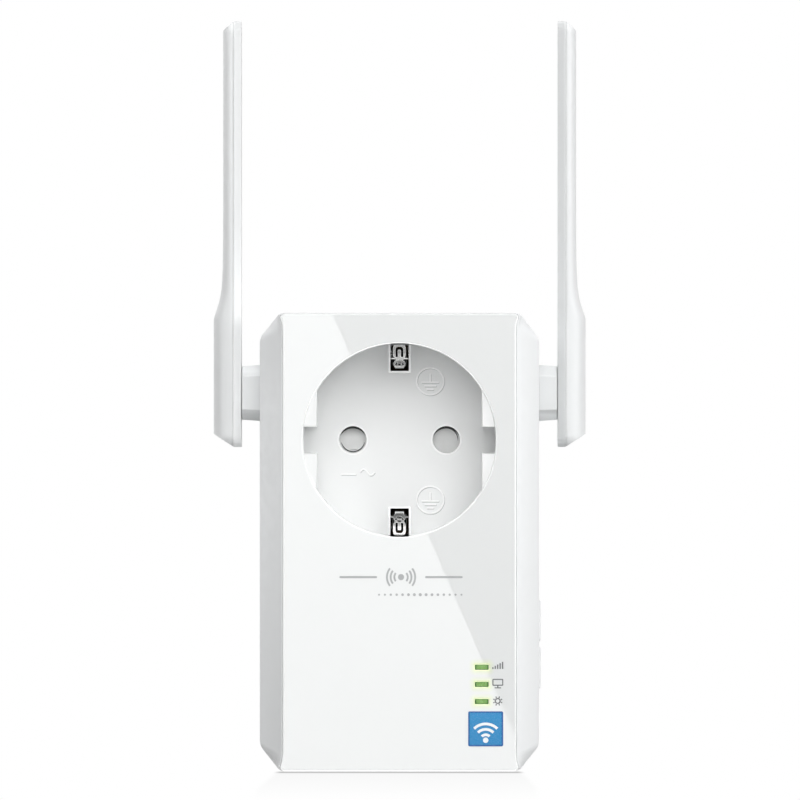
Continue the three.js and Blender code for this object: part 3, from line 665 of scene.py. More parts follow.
def moulded(name, colour, rough, grain_size=0.18, grain=0.08, tones=plain_tones):
    """Moulded plastic: faint mottling, uneven gloss, fine tool texture and rubbed edges."""
    net = network(name)
    place = net.place()
    mottle = net.noise(place, size=2.6, detail=3.0)
    tint, speck, bright = tones(net, place, colour)
    tint = net.mix(net.ramp(mottle, TIGHT, to=(0.0, 0.35)), tint, speck)
    patches = net.noise(place, size=1.1, detail=3.0)
    worn = net.mul(net.edges(), net.ramp(patches, over=(0.42, 0.62), to=(0.0, 0.35)))
    gloss = net.ramp(mottle, SOFT, to=around(rough, 0.035))
    texture = net.noise(place, grain_size, detail=3.0, rough=0.6)
    return net.principled(
        Base_Color=net.mix(worn, tint, bright),
        Roughness=net.sub(gloss, net.mul(worn, 0.12)),
        Normal=net.bump(texture, strength=grain, depth=grain_size * 0.09),
        IOR=1.47,
        Coat_Weight=0.0,
        Coat_Roughness=0.05,
    )


# ------------------------------------------------------------------ other materials


def outlet_plastic(name, colour, rough, rim=0.0, mouth=0.0, glow=0.0):
    """Outlet plastic with painted highlights that glow on its rim and round its pin holes;
    glow is painted light over the whole surface, and on its edges once more."""
    net = network(name)
    place = net.place()
    x, y, z = net.axes(place)
    mottle = net.noise(place, size=3.4)
    edge = net.edges()
    # painted highlights: emission on the rim's edges and in a ring round each pin hole
    light = net.mul(edge, net.ramp_mm(y, over=(-50, -54), to=(0.0, rim)))
    off = net.sub(net.size(x), PIN_X * MM)
    radius = net.math("SQRT", net.add(net.mul(off, off), net.mul(z, z)))
    halo = net.mul(
        net.ramp_mm(radius, over=(2.62, 2.80)), net.ramp_mm(radius, over=(2.96, 3.14), to=FALL)
    )
    at_floor = net.ramp_mm(y, over=(CUP_FLOOR + 0.3, CUP_FLOOR + 0.15), to=(0.0, mouth))
    light = net.add(light, net.mul(halo, at_floor))
    if glow:
        light = net.add(net.add(light, net.mul(edge, glow)), glow)
    return net.principled(
        Base_Color=net.mix(net.ramp(mottle, TIGHT), toned(colour, 0.996), colour),
        Roughness=net.ramp(mottle, SOFT, to=around(rough, 0.02)),
        Normal=net.bump(net.noise(place, size=0.35), strength=0.03, depth=0.02),
        IOR=1.47,
        Emission_Color=(1.0, 1.0, 1.0),
        Emission_Strength=light,
    )


def shutter_plastic():
    """Shutter plastic with painted shadow towards the top, stronger on the left, and
    painted highlights glowing on its edges.
    """
    net = network("shutter_plastic")
    place = net.place()
    x, _, z = net.axes(place)
    shadow = net.ramp_mm(z, over=(0.3, 2.75), smooth=True)
    strength = net.ramp_mm(x, over=(-1.0, 1.0), to=(0.62, 0.22))
    mottle = net.noise(place, size=1.2)
    tint = net.mix(net.ramp(mottle, TIGHT), (0.675, 0.68, 0.675), (0.695, 0.70, 0.695))
    return net.principled(
        Base_Color=net.mix(net.mul(shadow, strength), tint, (0.16, 0.165, 0.165)),
        Roughness=net.ramp(mottle, SOFT, to=(0.38, 0.46)),
        Normal=net.bump(net.noise(place, size=0.3), strength=0.05, depth=0.02),
        IOR=1.47,
        Emission_Color=(1.0, 1.0, 1.0),
        Emission_Strength=net.mul(net.edges(0.12), 0.10),
    )


def clip_plate():
    """Plated spring strip with painted highlights glowing on its edges and painted
    shade, near black, deep inside the outlet.
    """
    net = network("sprung_plate_painted_light")
    place = net.place()
    lines = net.noise(net.scaled(place, (1, 0.05, 1)), size=0.09, detail=3.0, rough=0.65)
    cloud = net.noise(place, size=1.4, detail=3.0)
    tint = net.mix(net.ramp(cloud, SOFT), (0.62, 0.62, 0.61), (0.74, 0.74, 0.73))
    edge = net.edges(0.16)
    tint = net.mix(edge, tint, (0.96, 0.96, 0.96))
    deep_shade = net.ramp_mm(net.axes(place)[1], over=(-49.6, -48.6))
    return net.principled(
        Base_Color=net.mix(deep_shade, tint, (0.035, 0.035, 0.036)),
        Metallic=1.0,
        Roughness=net.ramp(lines, SOFT, to=(0.16, 0.30)),
        Normal=net.bump(lines, strength=0.15, depth=0.004),
        Emission_Color=(1.0, 1.0, 1.0),
        Emission_Strength=net.mul(edge, net.ramp(deep_shade, over=(0.0, 1.0), to=(0.55, 0.0))),
    )


def metal(name, colour, rough, along, scratch, stain=None):
    """Metal with fine scratches along one axis."""
    net = network(name)
    place = net.place()
    stretch = {"x": (0.04, 1, 1), "y": (1, 0.04, 1), "z": (1, 1, 0.04)}[along]
    lines = net.noise(net.scaled(place, stretch), size=0.09, detail=3.0, rough=0.65)
    cloud = net.noise(place, size=1.9, detail=3.0)
    tint = net.mix(net.ramp(cloud, SOFT), toned(colour, 0.9), colour)
    if stain:
        patches = net.noise(place, size=3.1, detail=4.0)
        tint = net.mix(net.ramp(patches, over=(0.56, 0.72), to=(0, 0.5)), tint, stain)
    bright = [min(1, c * 1.15) for c in colour]
    return net.principled(
        Base_Color=net.mix(net.mul(net.edges(0.12), 0.35), tint, bright),
        Metallic=1.0,
        Roughness=net.ramp(lines, SOFT, to=(rough * 0.75, rough * 1.35)),
        Normal=net.bump(lines, strength=scratch, depth=0.004),
    )


def window_leak(net, place):
    """Light that leaks into the plastic round the lit windows: a wide glow and a near one."""
    wide = near = None
    for x, z in WINDOWS:
        away = net.vector("SUBTRACT", place, (x * MM, 0.0, z * MM))
        away = net.vector("ABSOLUTE", away)
        away = net.vector("SUBTRACT", away, (1.30 * MM, 1.0, 0.45 * MM))
        away = net.vector("LENGTH", net.vector("MAXIMUM", away))
        this_wide = net.ramp_mm(away, over=(0.0, 1.55), to=FALL, smooth=True)
        this_near = net.ramp_mm(away, over=(0.0, 0.55), to=FALL, smooth=True)
        wide = this_wide if wide is None else net.math("MAXIMUM", wide, this_wide)
        near = this_near if near is None else net.math("MAXIMUM", near, this_near)
    return wide, near


def panel_gloss():
    """Glossy white with painted highlights on its rims, painted shade on its rounded
    upper edge and painted green light round the windows.
    """
    colour = (0.808, 0.822, 0.818)
    net = network("gloss_panel")
    place = net.place()
    cloud = net.noise(place, size=23.0)
    tint = net.mix(net.ramp(cloud, SOFT), toned(colour, 0.993), colour)

    wide, near = window_leak(net, place)
    facing = net.axes(net.node("ShaderNodeNewGeometry").outputs["Normal"])
    front = net.ramp(facing[1], over=(-0.2, -0.9))
    wide = net.mul(wide, front)
    near = net.mul(near, front)
    tint = net.mix(net.mul(wide, 0.55), tint, (0.80, 0.88, 0.50))
    tint = net.mix(net.mul(near, 0.55), tint, (0.74, 0.86, 0.34))

    # painted highlight: the rims are lightened towards white
    edge = net.edges(0.2)
    tint = net.mix(net.mul(edge, 0.8), tint, (0.93, 0.94, 0.94))
    # painted shade on the rounded part of the top edge: tilted upwards but not level
    upward = net.mul(
        net.ramp(facing[2], over=(0.15, 0.5)), net.ramp(facing[2], over=(0.985, 0.995), to=FALL)
    )
    upper = net.mul(upward, net.ramp_mm(net.axes(place)[2], over=(TOP - 2, TOP - 1)))
    tint = net.mix(net.mul(upper, 0.85), tint, (0.60, 0.61, 0.61))

    # painted highlight: a band just behind the front face glows
    depth = net.axes(place)[1]
    band = net.mul(
        net.ramp_mm(depth, over=(PANEL_FRONT + 0.012, PANEL_FRONT + 0.045)),
        net.ramp_mm(depth, over=(PANEL_FRONT + 0.20, PANEL_FRONT + 0.32), to=FALL),
    )
    lit = net.mul(band, net.sub(1.0, upper))
    under = net.mul(band, net.ramp(facing[2], over=(-0.1, -0.5), to=(0.0, 0.55)))

    patches = net.noise(place, size=0.9, detail=3.0)
    worn = net.mul(edge, net.ramp(patches, over=(0.45, 0.62), to=(0.0, 0.4)))
    hair = net.noise(net.scaled(place, (1, 1, 0.03)), size=0.35, detail=4.0, rough=0.7)
    gloss = net.ramp(hair, over=(0.35, 0.75), to=(0.002, 0.007))
    flow = net.noise(place, size=34.0, detail=1.0)
    glow = net.add(net.mul(near, 0.05), net.add(net.mul(lit, 0.22), under))
    return net.principled(
        Base_Color=tint,
        Roughness=net.add(gloss, net.mul(worn, 0.08)),
        Normal=net.bump(flow, strength=0.02, depth=0.02),
        IOR=1.5,
        Emission_Color=net.mix(near, (1, 1, 1), (0.72, 0.95, 0.18)),
        Emission_Strength=glow,
    )


def lit_window():
    """Green light pipe, darker at both ends of its window."""
    net = network("lit_light_pipe")
    place = net.place()
    off = net.size(net.sub(net.axes(place)[0], WINDOWS[0][0] * MM))
    ends = net.ramp_mm(off, over=(0.85, 1.3), smooth=True)
    cells = net.noise(net.scaled(place, (1, 0.3, 1)), size=0.33)
    tint = net.mix(net.ramp(cells, TIGHT), (0.14, 0.31, 0.06), (0.185, 0.36, 0.09))
    tint = net.mix(ends, tint, (0.055, 0.18, 0.025))
    return net.principled(
        Base_Color=tint,
        Roughness=net.ramp(cells, SOFT, to=(0.18, 0.3)),
        Normal=net.bump(cells, strength=0.1, depth=0.02),
        Emission_Color=net.mix(ends, tint, (0.03, 0.10, 0.01)),
        Emission_Strength=0.12,
        IOR=1.5,
    )


def badge_print():
    """Blue print, lighter towards the top and dark along its border."""
    net = network("printed_blue")
    place = net.place()
    x, _, z = net.axes(place)
    rise = net.ramp_mm(z, over=(-61.9, -54.9))
    tint = net.mix(rise, (0.010, 0.235, 0.52), (0.018, 0.27, 0.575))
    dots = net.noise(place, size=0.16)
    tint = net.mix(net.ramp(dots, TIGHT, to=(0, 0.10)), tint, (0.03, 0.19, 0.52))
    off_x = net.size(net.sub(x, BADGE_X * MM))
    off_z = net.size(net.sub(z, BADGE_Z * MM))
    border = (BADGE_SIZE / 2 - 0.42, BADGE_SIZE / 2 - 0.22)
    rim = net.ramp_mm(net.math("MAXIMUM", off_x, off_z), over=border, smooth=True)
    return net.principled(
        Base_Color=net.mix(rim, tint, (0.004, 0.10, 0.34)),
        Roughness=net.ramp(dots, SOFT, to=(0.2, 0.32)),
        Normal=net.bump(dots, strength=0.06, depth=0.01),
        IOR=1.48,
    )


def ink(name, colour):
    net = network(name)
    place = net.place()
    fine = net.noise(place, size=0.12, detail=3.0)
    broad = net.noise(place, size=1.4)
    lighter = [min(1, c * 1.12) for c in colour]
    tint = net.mix(net.ramp(fine, TIGHT, to=(0, 0.35)), colour, lighter)
    tint = net.mix(net.ramp(broad, over=(0.4, 0.7), to=(0, 0.2)), tint, toned(colour, 0.9))
    return net.principled(
        Base_Color=tint,
        Roughness=net.ramp(fine, SOFT, to=around(0.4, 0.06)),
        Normal=net.bump(fine, strength=0.08, depth=0.008),
    )


def circuit_board():
    """Green board with traces and round gilt pads, laid out in x and z."""
    net = network("circuit_board")
    place = net.place()
    x, _, z = net.axes(net.scaled(place, (1, 1, 1)))
    flat = net.node("ShaderNodeCombineXYZ", {0: x, 1: z, 2: 0.0}).outputs[0]
    layout = {
        "Vector": flat, "Scale": 1 / (6.0 * MM), "Mortar Size": 0.035, "Mortar Smooth": 0.1,
        "Brick Width": 0.9, "Row Height": 0.22,
    }
    traces = net.node("ShaderNodeTexBrick", layout, offset=0.37, squash=1.0).outputs["Fac"]
    cells = {"Vector": flat, "Scale": 1 / (2.4 * MM)}
    spots = net.node("ShaderNodeTexVoronoi", cells, feature="F1").outputs["Distance"]
    pads = net.ramp(spots, over=(0.17, 0.14))
    mottle = net.noise(place, size=4.0, detail=3.0)
    tint = net.mix(net.ramp(mottle, SOFT), (0.018, 0.115, 0.05), (0.024, 0.15, 0.062))
    tint = net.mix(net.mul(traces, 0.8), tint, (0.05, 0.26, 0.10))
    return net.principled(
        Base_Color=net.mix(pads, tint, (0.72, 0.62, 0.36)),
        Metallic=net.mul(pads, 0.9),
        Roughness=net.ramp(mottle, SOFT, to=(0.3, 0.45)),
        Normal=net.bump(net.add(traces, pads), strength=0.25, depth=0.03),
    )


def dark_moulding(name, colour, rough):
    net = network(name)
    place = net.place()
    grain = net.noise(place, size=0.18, detail=3.0, rough=0.6)
    mottle = net.noise(place, size=5.0)
    tint = net.mix(net.ramp(mottle, SOFT), colour, [c * 1.25 + 0.002 for c in colour])
    edge = net.mul(net.edges(0.15), 0.3)
    return net.principled(
        Base_Color=net.mix(edge, tint, [c * 1.8 + 0.02 for c in colour]),
        Roughness=net.ramp(mottle, SOFT, to=around(rough, 0.06)),
        Normal=net.bump(grain, strength=0.18, depth=0.02),
    )


def cable_skin(name, colour):
    net = network(name)
    place = net.place()
    mottle = net.noise(place, size=0.5, detail=3.0)
    twist = {"Vector": place, "Scale": 1 / (1.8 * MM), "Distortion": 1.5, "Detail": 2.0}
    wave = net.node("ShaderNodeTexWave", twist).outputs["Fac"]
    return net.principled(
        Base_Color=net.mix(net.ramp(mottle, TIGHT), toned(colour, 0.85), colour),
        Roughness=net.ramp(mottle, SOFT, to=around(0.45, 0.08)),
        Normal=net.bump(wave, strength=0.1, depth=0.03),
    )


def fuse_tube():
    """A clear tube with metal caps at both ends of its length in x."""
    net = network("fuse_tube")
    place = net.place()
    off = net.size(net.sub(net.axes(place)[0], -14.0 * MM))
    cap = net.ramp_mm(off, over=(1.95, 2.0))
    mottle = net.noise(place, size=0.4)
    return net.principled(
        Base_Color=net.mix(cap, (0.72, 0.78, 0.75), (0.72, 0.72, 0.73)),
        Metallic=cap,
        Roughness=net.ramp(mottle, SOFT, to=(0.1, 0.22)),
        Transmission_Weight=net.sub(0.7, net.mul(cap, 0.7)),
        Normal=net.bump(mottle, strength=0.05, depth=0.02),
    )


LOOKS = {
    "gloss_white": panel_gloss(),
    "satin_white": moulded(
        "satin_shell", (0.80, 0.812, 0.817), rough=0.38, grain_size=0.20, grain=0.10,
        tones=flank_painted_light,
    ),
    "antenna_white": moulded("satin_antenna", (0.738, 0.750, 0.753), rough=0.34),
    # the two inner covers are copies of one white: the left one painted lighter, the right one
    # painted darker
    "inner_cover_left": moulded(
        "satin_cover_left_painted_light", (0.92, 0.928, 0.929), rough=0.34, tones=painted_shade_rising
    ),
    "inner_cover_right": moulded("satin_cover_right_painted_shade", (0.695, 0.707, 0.710), rough=0.34),
    # the hinge blocks' white, darker than the housing's, is painted shade; their faces carry painted
    # light
    "hinge_white": moulded("satin_hinge_painted_light_and_shade", (0.755, 0.767, 0.770), rough=0.36, tones=hinge_painted_light),
    # painted highlights on the outlet's rim and round its pin holes
    "socket_white": outlet_plastic(
        "outlet_plastic", (0.885, 0.893, 0.891), rough=0.30, rim=0.20, mouth=0.16
    ),
    # the raised marks and the slot lips glow: painted highlight
    "mark_white": outlet_plastic("outlet_mark", (0.90, 0.905, 0.903), rough=0.30, glow=0.10),
    # darker plastic for the marks' painted shadows
    "mark_painted_shadow": outlet_plastic("outlet_mark_painted_shadow", (0.56, 0.565, 0.563), rough=0.40),
    "lip_white": outlet_plastic("outlet_lip", (0.95, 0.955, 0.955), rough=0.2, glow=0.20),
    "shutter_white": shutter_plastic(),
    "clip_metal": clip_plate(),
    "inner_white": moulded(
        "inner_plastic", (0.72, 0.73, 0.73), rough=0.42, grain_size=0.25, grain=0.12
    ),
    "nickel": metal("nickel_plate", (0.80, 0.80, 0.79), rough=0.20, along="y", scratch=0.2),
    "steel": metal("plain_steel", (0.60, 0.61, 0.62), rough=0.30, along="x", scratch=0.3),
    "brass": metal(
        "brass_strip", (0.78, 0.60, 0.30), rough=0.28, along="y", scratch=0.25,
        stain=(0.45, 0.33, 0.16),
    ),
    # near-black brass for the earth strap: painted shade where it shows in the earth slots
    "brass_dark": metal(
        "brass_painted_shade", (0.05, 0.038, 0.025), rough=0.5, along="z", scratch=0.3
    ),
    "gold_contacts": metal("gold_flash", (0.90, 0.70, 0.32), rough=0.2, along="z", scratch=0.15),
    "copper": metal(
        "copper_foil", (0.80, 0.46, 0.30), rough=0.3, along="z", scratch=0.25,
        stain=(0.42, 0.22, 0.14),
    ),
    "circuit_board": circuit_board(),
    "black_plastic": dark_moulding("black_moulding", (0.012, 0.012, 0.014), rough=0.42),
    "dark_plastic": dark_moulding("dark_moulding", (0.035, 0.037, 0.040), rough=0.45),
    "clear_glass": fuse_tube(),
    "light_green": lit_window(),
    "badge_blue": badge_print(),
    "print_grey": ink("printed_grey", (0.42, 0.43, 0.435)),
    "print_icon": ink("printed_icon_grey", (0.15, 0.155, 0.16)),
    "print_white": ink("printed_white", (0.88, 0.90, 0.92)),
    "cable_black": cable_skin("coax_jacket", (0.03, 0.03, 0.032)),
    "wire_brown": cable_skin("brown_insulation", (0.20, 0.08, 0.035)),
    "wire_blue": cable_skin("blue_insulation", (0.03, 0.12, 0.42)),
}

# ------------------------------------------------------------------ body outlines

# Quarter outlines run from the top centre round to the middle of the right-hand side, with z
# measured from the middle height. Their points match one to one.

PANEL_HALF_WIDTH = 23.6


def quarter_panel(grow=0.0):
    """The panel's edge, which flares at the corner, grown sideways."""
    high = HALF_HEIGHT
    tip = (24.12 + grow, high - 0.78)
    foot = (PANEL_HALF_WIDTH + grow, high - 3.6)
    top = along([(0, high), (23.05, high)], 6)
    corner = bezier((23.05, high), (23.75 + grow, high), tip, 5)
    flare = along(bezier(tip, (23.62 + grow, high - 2.0), foot, 10), 12)
    side = along([foot, (PANEL_HALF_WIDTH + grow, 0)], 6)
    return top + corner[1:] + flare[1:] + side[1:]


def quarter_body(shrink=0.0):
    """The body's full silhouette, shrunk."""
    high, wide = HALF_HEIGHT - shrink, HALF_WIDTH - shrink
    tip = (24.6 - shrink * 0.3, high - 0.36)
    top = along([(0, high), (23.85, high)], 6)
    corner = bezier((23.85, high), (24.3, high), tip, 5)
    bend = bezier((27.3 - shrink, high - 3.75), (wide - 0.03, high - 4.8), (wide, high - 5.9), 8)
    slant = along([tip] + bend, 12)
    side = along([(wide, high - 6.3), (wide, 0)], 6)
    return top + corner[1:] + slant[1:] + side[1:]


def full(quarter):
    """The whole closed outline as (x, z), clockwise seen from the front."""
    half = quarter + [(x, -z) for x, z in quarter[:-1]][::-1]
    left = [(-x, z) for x, z in half[1:-1]][::-1]
    return [(x, z + MID_Z) for x, z in half + left]


def blend(first, second, share):
    return [
        (p[0] + (q[0] - p[0]) * share, p[1] + (q[1] - p[1]) * share)
        for p, q in zip(first, second)
    ]


def seam_ring(part, seam, towards):
    """A ring of the fine round at a seam; towards is the y direction into the shell."""
    inset, depth = quarter_round(part)
    return ring(full(quarter_body(0.28 * inset)), seam + towards * 0.28 * depth)


def cut_knuckle_gaps(ob):
    for side in (-1, 1):
        rings = [ring(octagon(*KNUCKLE_GAP), side * x, "x") for x in (24, 30)]
        cut(ob, loft("knuckle_gap", rings))


def side_mouth(outline, flare):
    """A cutter through the right-hand wall that widens by flare at the surface."""
    outline = ccw(outline)
    wide = shift_in(outline, -flare)
    stations = [
        (outline, 24.0), (outline, HALF_WIDTH - flare), (wide, HALF_WIDTH + 0.02),
        (wide, HALF_WIDTH + 2.0),
    ]
    return loft("mouth", [ring(points, x, "x") for points, x in stations])


# ------------------------------------------------------------------ front panel and housing


def build_panel():
    holes = [circle(0, 0, CUP_R + 0.08, 160)]
    holes += [rect(x, z, 2.75, 1.05, 0.16, 4) for x, z in WINDOWS]
    ob = plate(
        "front_panel_gloss", full(quarter_panel()), holes, PANEL_FRONT, PANEL_BACK,
        0.34, 0.12, 5, hole_round0=0.24, hole_round1=0.0,
    )
    finish(ob, "housing", "gloss_white", ["front_panel"], sharp=50, flat=True)


def front_skin():
    """A slightly crowned facet from the panel's lip to the full silhouette, then a soft
    shoulder and a straight side back to the seam."""
    lip, wide = PANEL_FRONT + 0.42, PANEL_FRONT + 8.0
    shoulder = 0.4

    def crowned(y):
        share = (y - lip) / (wide - lip)
        return y, share + 0.035 * math.sin(math.pi * share)

    # (y, share of the way from the lip's outline to the body's)
    profile = [crowned(lip + (wide - shoulder - lip) * (k / 9)) for k in range(9)]
    after = (wide + shoulder * 0.9, 1.0)
    profile += bezier(crowned(wide - shoulder), (wide - 0.12, 1.0), after, 7)
    profile += [(-43.0, 1.0), (SEAM_FRONT - 0.3, 1.0)]
    lip_outline, body_outline = full(quarter_panel(0.2)), full(quarter_body())
    rings = [ring(blend(lip_outline, body_outline, share), y) for y, share in profile]
    rings += [seam_ring(k / 3, SEAM_FRONT, -1) for k in range(1, 4)]
    return loft("front_housing_shell", rings)


def build_front_housing():
    ob = front_skin()
    # the panel's pocket is open at the top and bottom
    pocket = []
    for x, z in full(quarter_panel(0.06)):
        past = 1.5 if z > TOP - 0.2 else -1.5 if z < BOTTOM + 0.2 else 0
        pocket.append((x, z + past))
    cut(ob, plate("pocket", pocket, [], PANEL_FRONT - 3, PANEL_BED))

    inner = full(quarter_body(WALL))
    shrink = (HALF_HEIGHT - WALL) / HALF_HEIGHT
    inner_front = [(x, MID_Z + (z - MID_Z) * shrink) for x, z in full(quarter_panel(-0.2))]
    inside = [
        ring(inner_front, PANEL_BED + 1.5),
        ring(inner, PANEL_BED + 1.5 + 5.0),
        ring(inner, SEAM_FRONT + 1),
    ]
    cut(ob, loft("inside", inside))
    for screw in SCREWS:
        boss = [(0, -51.0), (3.2, -51.0), (3.2, SEAM_FRONT), (0, SEAM_FRONT)]
        pilot = [(0, -50), (1.15, -50), (1.15, -30), (0, -30)]
        fuse(ob, revolve("boss", boss, "y", screw, 40))
        cut(ob, revolve("pilot", pilot, "y", screw, 24))
    cup = [(0, -60), (CUP_R + 1.65, -60), (CUP_R + 1.65, -53), (0, -53)]
    cut(ob, revolve("cup", cup, "y", (0, 0), 128))
    for x, z in WINDOWS:
        cut(ob, plate("pipe", rect(x, z, 3.5, 2.2, 0.2), [], -57, -53))
    for z in (POWER_Z, EXTEND_Z):
        cut(ob, side_mouth(rect(BUTTON_Y, z, 6.3, 8.7, 0.5, 6), flare=0.18))
    cut(ob, side_mouth(circle(BUTTON_Y, RESET_Z, 0.72, 28), flare=0.22))
    cut_knuckle_gaps(ob)
    tidy(ob)
    finish(ob, "housing", "satin_white", ["front_housing"], sharp=30)


# ------------------------------------------------------------------ rear housing

VENT_WIDTH, VENT_LENGTH, VENT_Y = 1.8, 10, -26


def rear_skin():
    rings = [seam_ring(k / 3, SEAM_REAR, 1) for k in range(3, -1, -1)]
    outline = full(quarter_body())
    rings.append(ring(outline, -26.0))
    radius = 1.8
    for k in range(7):
        inset, depth = quarter_round(k / 6)
        across = 1 - radius * inset / HALF_WIDTH
        upright = 1 - radius * inset / HALF_HEIGHT
        points = [(x * across, MID_Z + (z - MID_Z) * upright) for x, z in outline]
        rings.append(ring(points, REAR_FACE - radius * depth))
    return loft("rear_housing_shell", rings)


def cut_vents(ob):
    """Slots in the top, the bottom and both sides."""
    rows = [(x, TOP - 3, TOP + 1) for x in range(-16, 17, 4)]
    rows += [(x, BOTTOM - 1, BOTTOM + 3) for x in (-20, -16, -12, 12, 16, 20)]
    for x, low, high in rows:
        slot = stadium(x, VENT_Y, VENT_WIDTH, VENT_LENGTH)
        cut(ob, plate("vent", slot, [], low, high, axis="z"))
    for i in range(7):
        slot = stadium(VENT_Y, -30 - i * 4.5, VENT_LENGTH, VENT_WIDTH)
        for side in (-1, 1):
            cut(ob, plate("vent", slot, [], *span(side, 25, 31), axis="x"))


def build_rear_housing():
    ob = rear_skin()
    inner = full(quarter_body(WALL))
    cut(ob, loft("inside", [ring(inner, SEAM_REAR - 2), ring(inner, REAR_FACE - WALL)]))
    for screw in SCREWS:
        boss = [(0, SEAM_REAR), (3.6, SEAM_REAR), (3.6, REAR_FACE - 1), (0, REAR_FACE - 1)]
        hole = [
            (0, -40), (1.5, -40), (1.5, -27), (2.8, -27), (2.8, REAR_FACE - 0.35),
            (3.15, REAR_FACE + 0.02), (3.15, -10), (0, -10),
        ]
        fuse(ob, revolve("boss", boss, "y", screw, 40))
        cut(ob, revolve("hole", hole, "y", screw, 48))
    cut(ob, plate("plug_gap", plug_outline(0.15), [], -22, -16))
    cut_vents(ob)
    # the network jack's opening in the bottom, with a broken edge
    jack = ccw(rect(0, -28.6, 13.8, 10.4, 0.5))
    wide = shift_in(jack, -0.3)
    stations = [
        (jack, BOTTOM + 3), (jack, BOTTOM + 0.3), (wide, BOTTOM - 0.02), (wide, BOTTOM - 2),
    ]
    cut(ob, loft("jack_gap", [ring(points, z, "z") for points, z in stations]))
    cut_knuckle_gaps(ob)
    tidy(ob)
    finish(ob, "housing", "satin_white", ["rear_housing"], sharp=30)


# ------------------------------------------------------------------ outlet

SLOT_Z = 17.8  # middle height of the earth slots, above and below the axis


def cup_outline():
    """The recess: a round hole between two key blocks with a notch in each."""
    notch = math.degrees(math.asin(NOTCH / CUP_R))
    key = math.degrees(math.acos(KEY_X / CUP_R))
    key_top = CUP_R * math.sin(math.radians(key))
    middle = NOTCH + (key_top - NOTCH) * 0.5
    right = arc(0, 0, CUP_R, -notch, notch, 10) + [(KEY_X, NOTCH), (KEY_X, middle)]
    top = arc(0, 0, CUP_R, key, 180 - key, 64)
    left = [(-KEY_X, middle), (-KEY_X, NOTCH)]
    left += arc(0, 0, CUP_R, 180 - notch, 180 + notch, 10)
    left += [(-KEY_X, -NOTCH), (-KEY_X, -middle)]
    bottom = arc(0, 0, CUP_R, 180 + key, 360 - key, 64)
    return right + top + left + bottom + [(KEY_X, -middle), (KEY_X, -NOTCH)]


def fuse_key_blocks(ob):
    """The four key blocks, which stand up through the panel's hole."""
    radius = CUP_R + 0.065
    start = math.degrees(math.asin(NOTCH / radius))
    end = math.degrees(math.acos(KEY_X / radius))
    corner = [(KEY_X, NOTCH)] + arc(0, 0, radius, start, end, 12)
    for side in (-1, 1):
        for up in (-1, 1):
            points = rounded(ccw([(side * x, up * z) for x, z in corner]), 0.04, 2)
            fuse(ob, plate("key", points, [], -57.28, CUP_FLOOR + 0.1, 0.12, 0.0, 3))


def build_outlet():
    rim = PANEL_BED + 0.05
    outer = circle(0, 0, CUP_R + 1.5, 160)
    ob = plate(
        "outlet_insert", outer, [cup_outline()], rim, CUP_FLOOR + 0.2, 0.2, 0.0, 4,
        hole_round0=0.2,
    )
    pin_holes = [circle(x, 0, 2.75, 64) for x in (-PIN_X, PIN_X)]
    floor_plate = plate(
        "floor", outer, pin_holes, CUP_FLOOR, CUP_BACK, 0.0, 0.25, 4,
        hole_round0=0.28, hole_round1=0.0,
    )
    fuse(ob, floor_plate)
    fuse_key_blocks(ob)
    flange = [(20.6, -54.05), (23, -54.05), (23, -52.5), (20.6, -52.5)]
    fuse(ob, revolve("flange", flange, "y", (0, 0), 128, closed=True))
    # the earth slots and their broken front edges
    for side in (-1, 1):
        low, high = span(side, 14.0, 21.6)
        cut(ob, bar(-1.87, 1.87, rim - 4, CUP_BACK + 1, low, high))
        slot = ccw(rect(0, (low + high) / 2, 3.74, 7.6))
        wide = shift_in(slot, -0.24)
        stations = [(slot, CUP_FLOOR + 0.22), (wide, CUP_FLOOR - 0.02), (wide, CUP_FLOOR - 1.0)]
        cut(ob, loft("chamfer", [ring(points, y) for points, y in stations]))
    boss = [(0, CUP_BACK - 0.5), (1.6, CUP_BACK - 0.5), (1.6, -35.2), (1.4, -35.0), (0, -35.0)]
    fuse(ob, revolve("boss", boss, "y", (0, 0), 40))
    tidy(ob)
    finish(ob, "housing", "socket_white", ["socket_insert"])


def offset_sides(path, offset, closed=False):
    """The two sides of a path, as points at +offset and -offset across it."""
    points = [Vector(q) for q in path]
    count = len(points)
    left, right = [], []
    for i, point in enumerate(points):
        before = points[i - 1] if i > 0 or closed else point
        after = points[(i + 1) % count] if i < count - 1 or closed else point
        heading = (after - before).normalized()
        across = Vector((-heading.y, heading.x))
        left.append(tuple(point + across * offset))
        right.append(tuple(point - across * offset))
    return left, right


RAISED = (CUP_FLOOR - 0.26, CUP_FLOOR + 0.06)  # front and rear of a raised line
# front and rear of the thin dark sheet that is a raised line's painted shadow
PAINTED_SHADOW_DEPTHS = (CUP_FLOOR - 0.03, CUP_FLOOR + 0.03)


def stroke(path, width, depths, radius=0.0, closed=False):
    """A line of the given width along a path of (x, z) points."""
    left, right = offset_sides(path, width / 2, closed)
    if closed:
        outer, inner = (left, right) if abs(area(left)) > abs(area(right)) else (right, left)
        return plate("line", outer, [inner], *depths, radius, 0.0, 2)
    return plate("line", left + right[::-1], [], *depths, radius, 0.0, 2)


def earth_symbol(x, z, depths, radius=0.0):
    """A ring round an upright and three shortening bars."""
    width = 0.3
    parts = [stroke(circle(x, z, 2.75, 56), width, depths, radius, closed=True)]
    parts.append(stroke([(x, z + 1.55), (x, z - 0.1)], width, depths, radius))
    for half, drop in ((1.75, 0.23), (1.2, 0.95), (0.7, 1.65)):
        path = [(x - half, z - drop), (x + half, z - drop)]
        parts.append(stroke(path, width, depths, radius))
    return parts


def floor_mark(name, parts, look):
    finish(joined(name, parts), "housing", "socket_white", look=look, sharp=40)


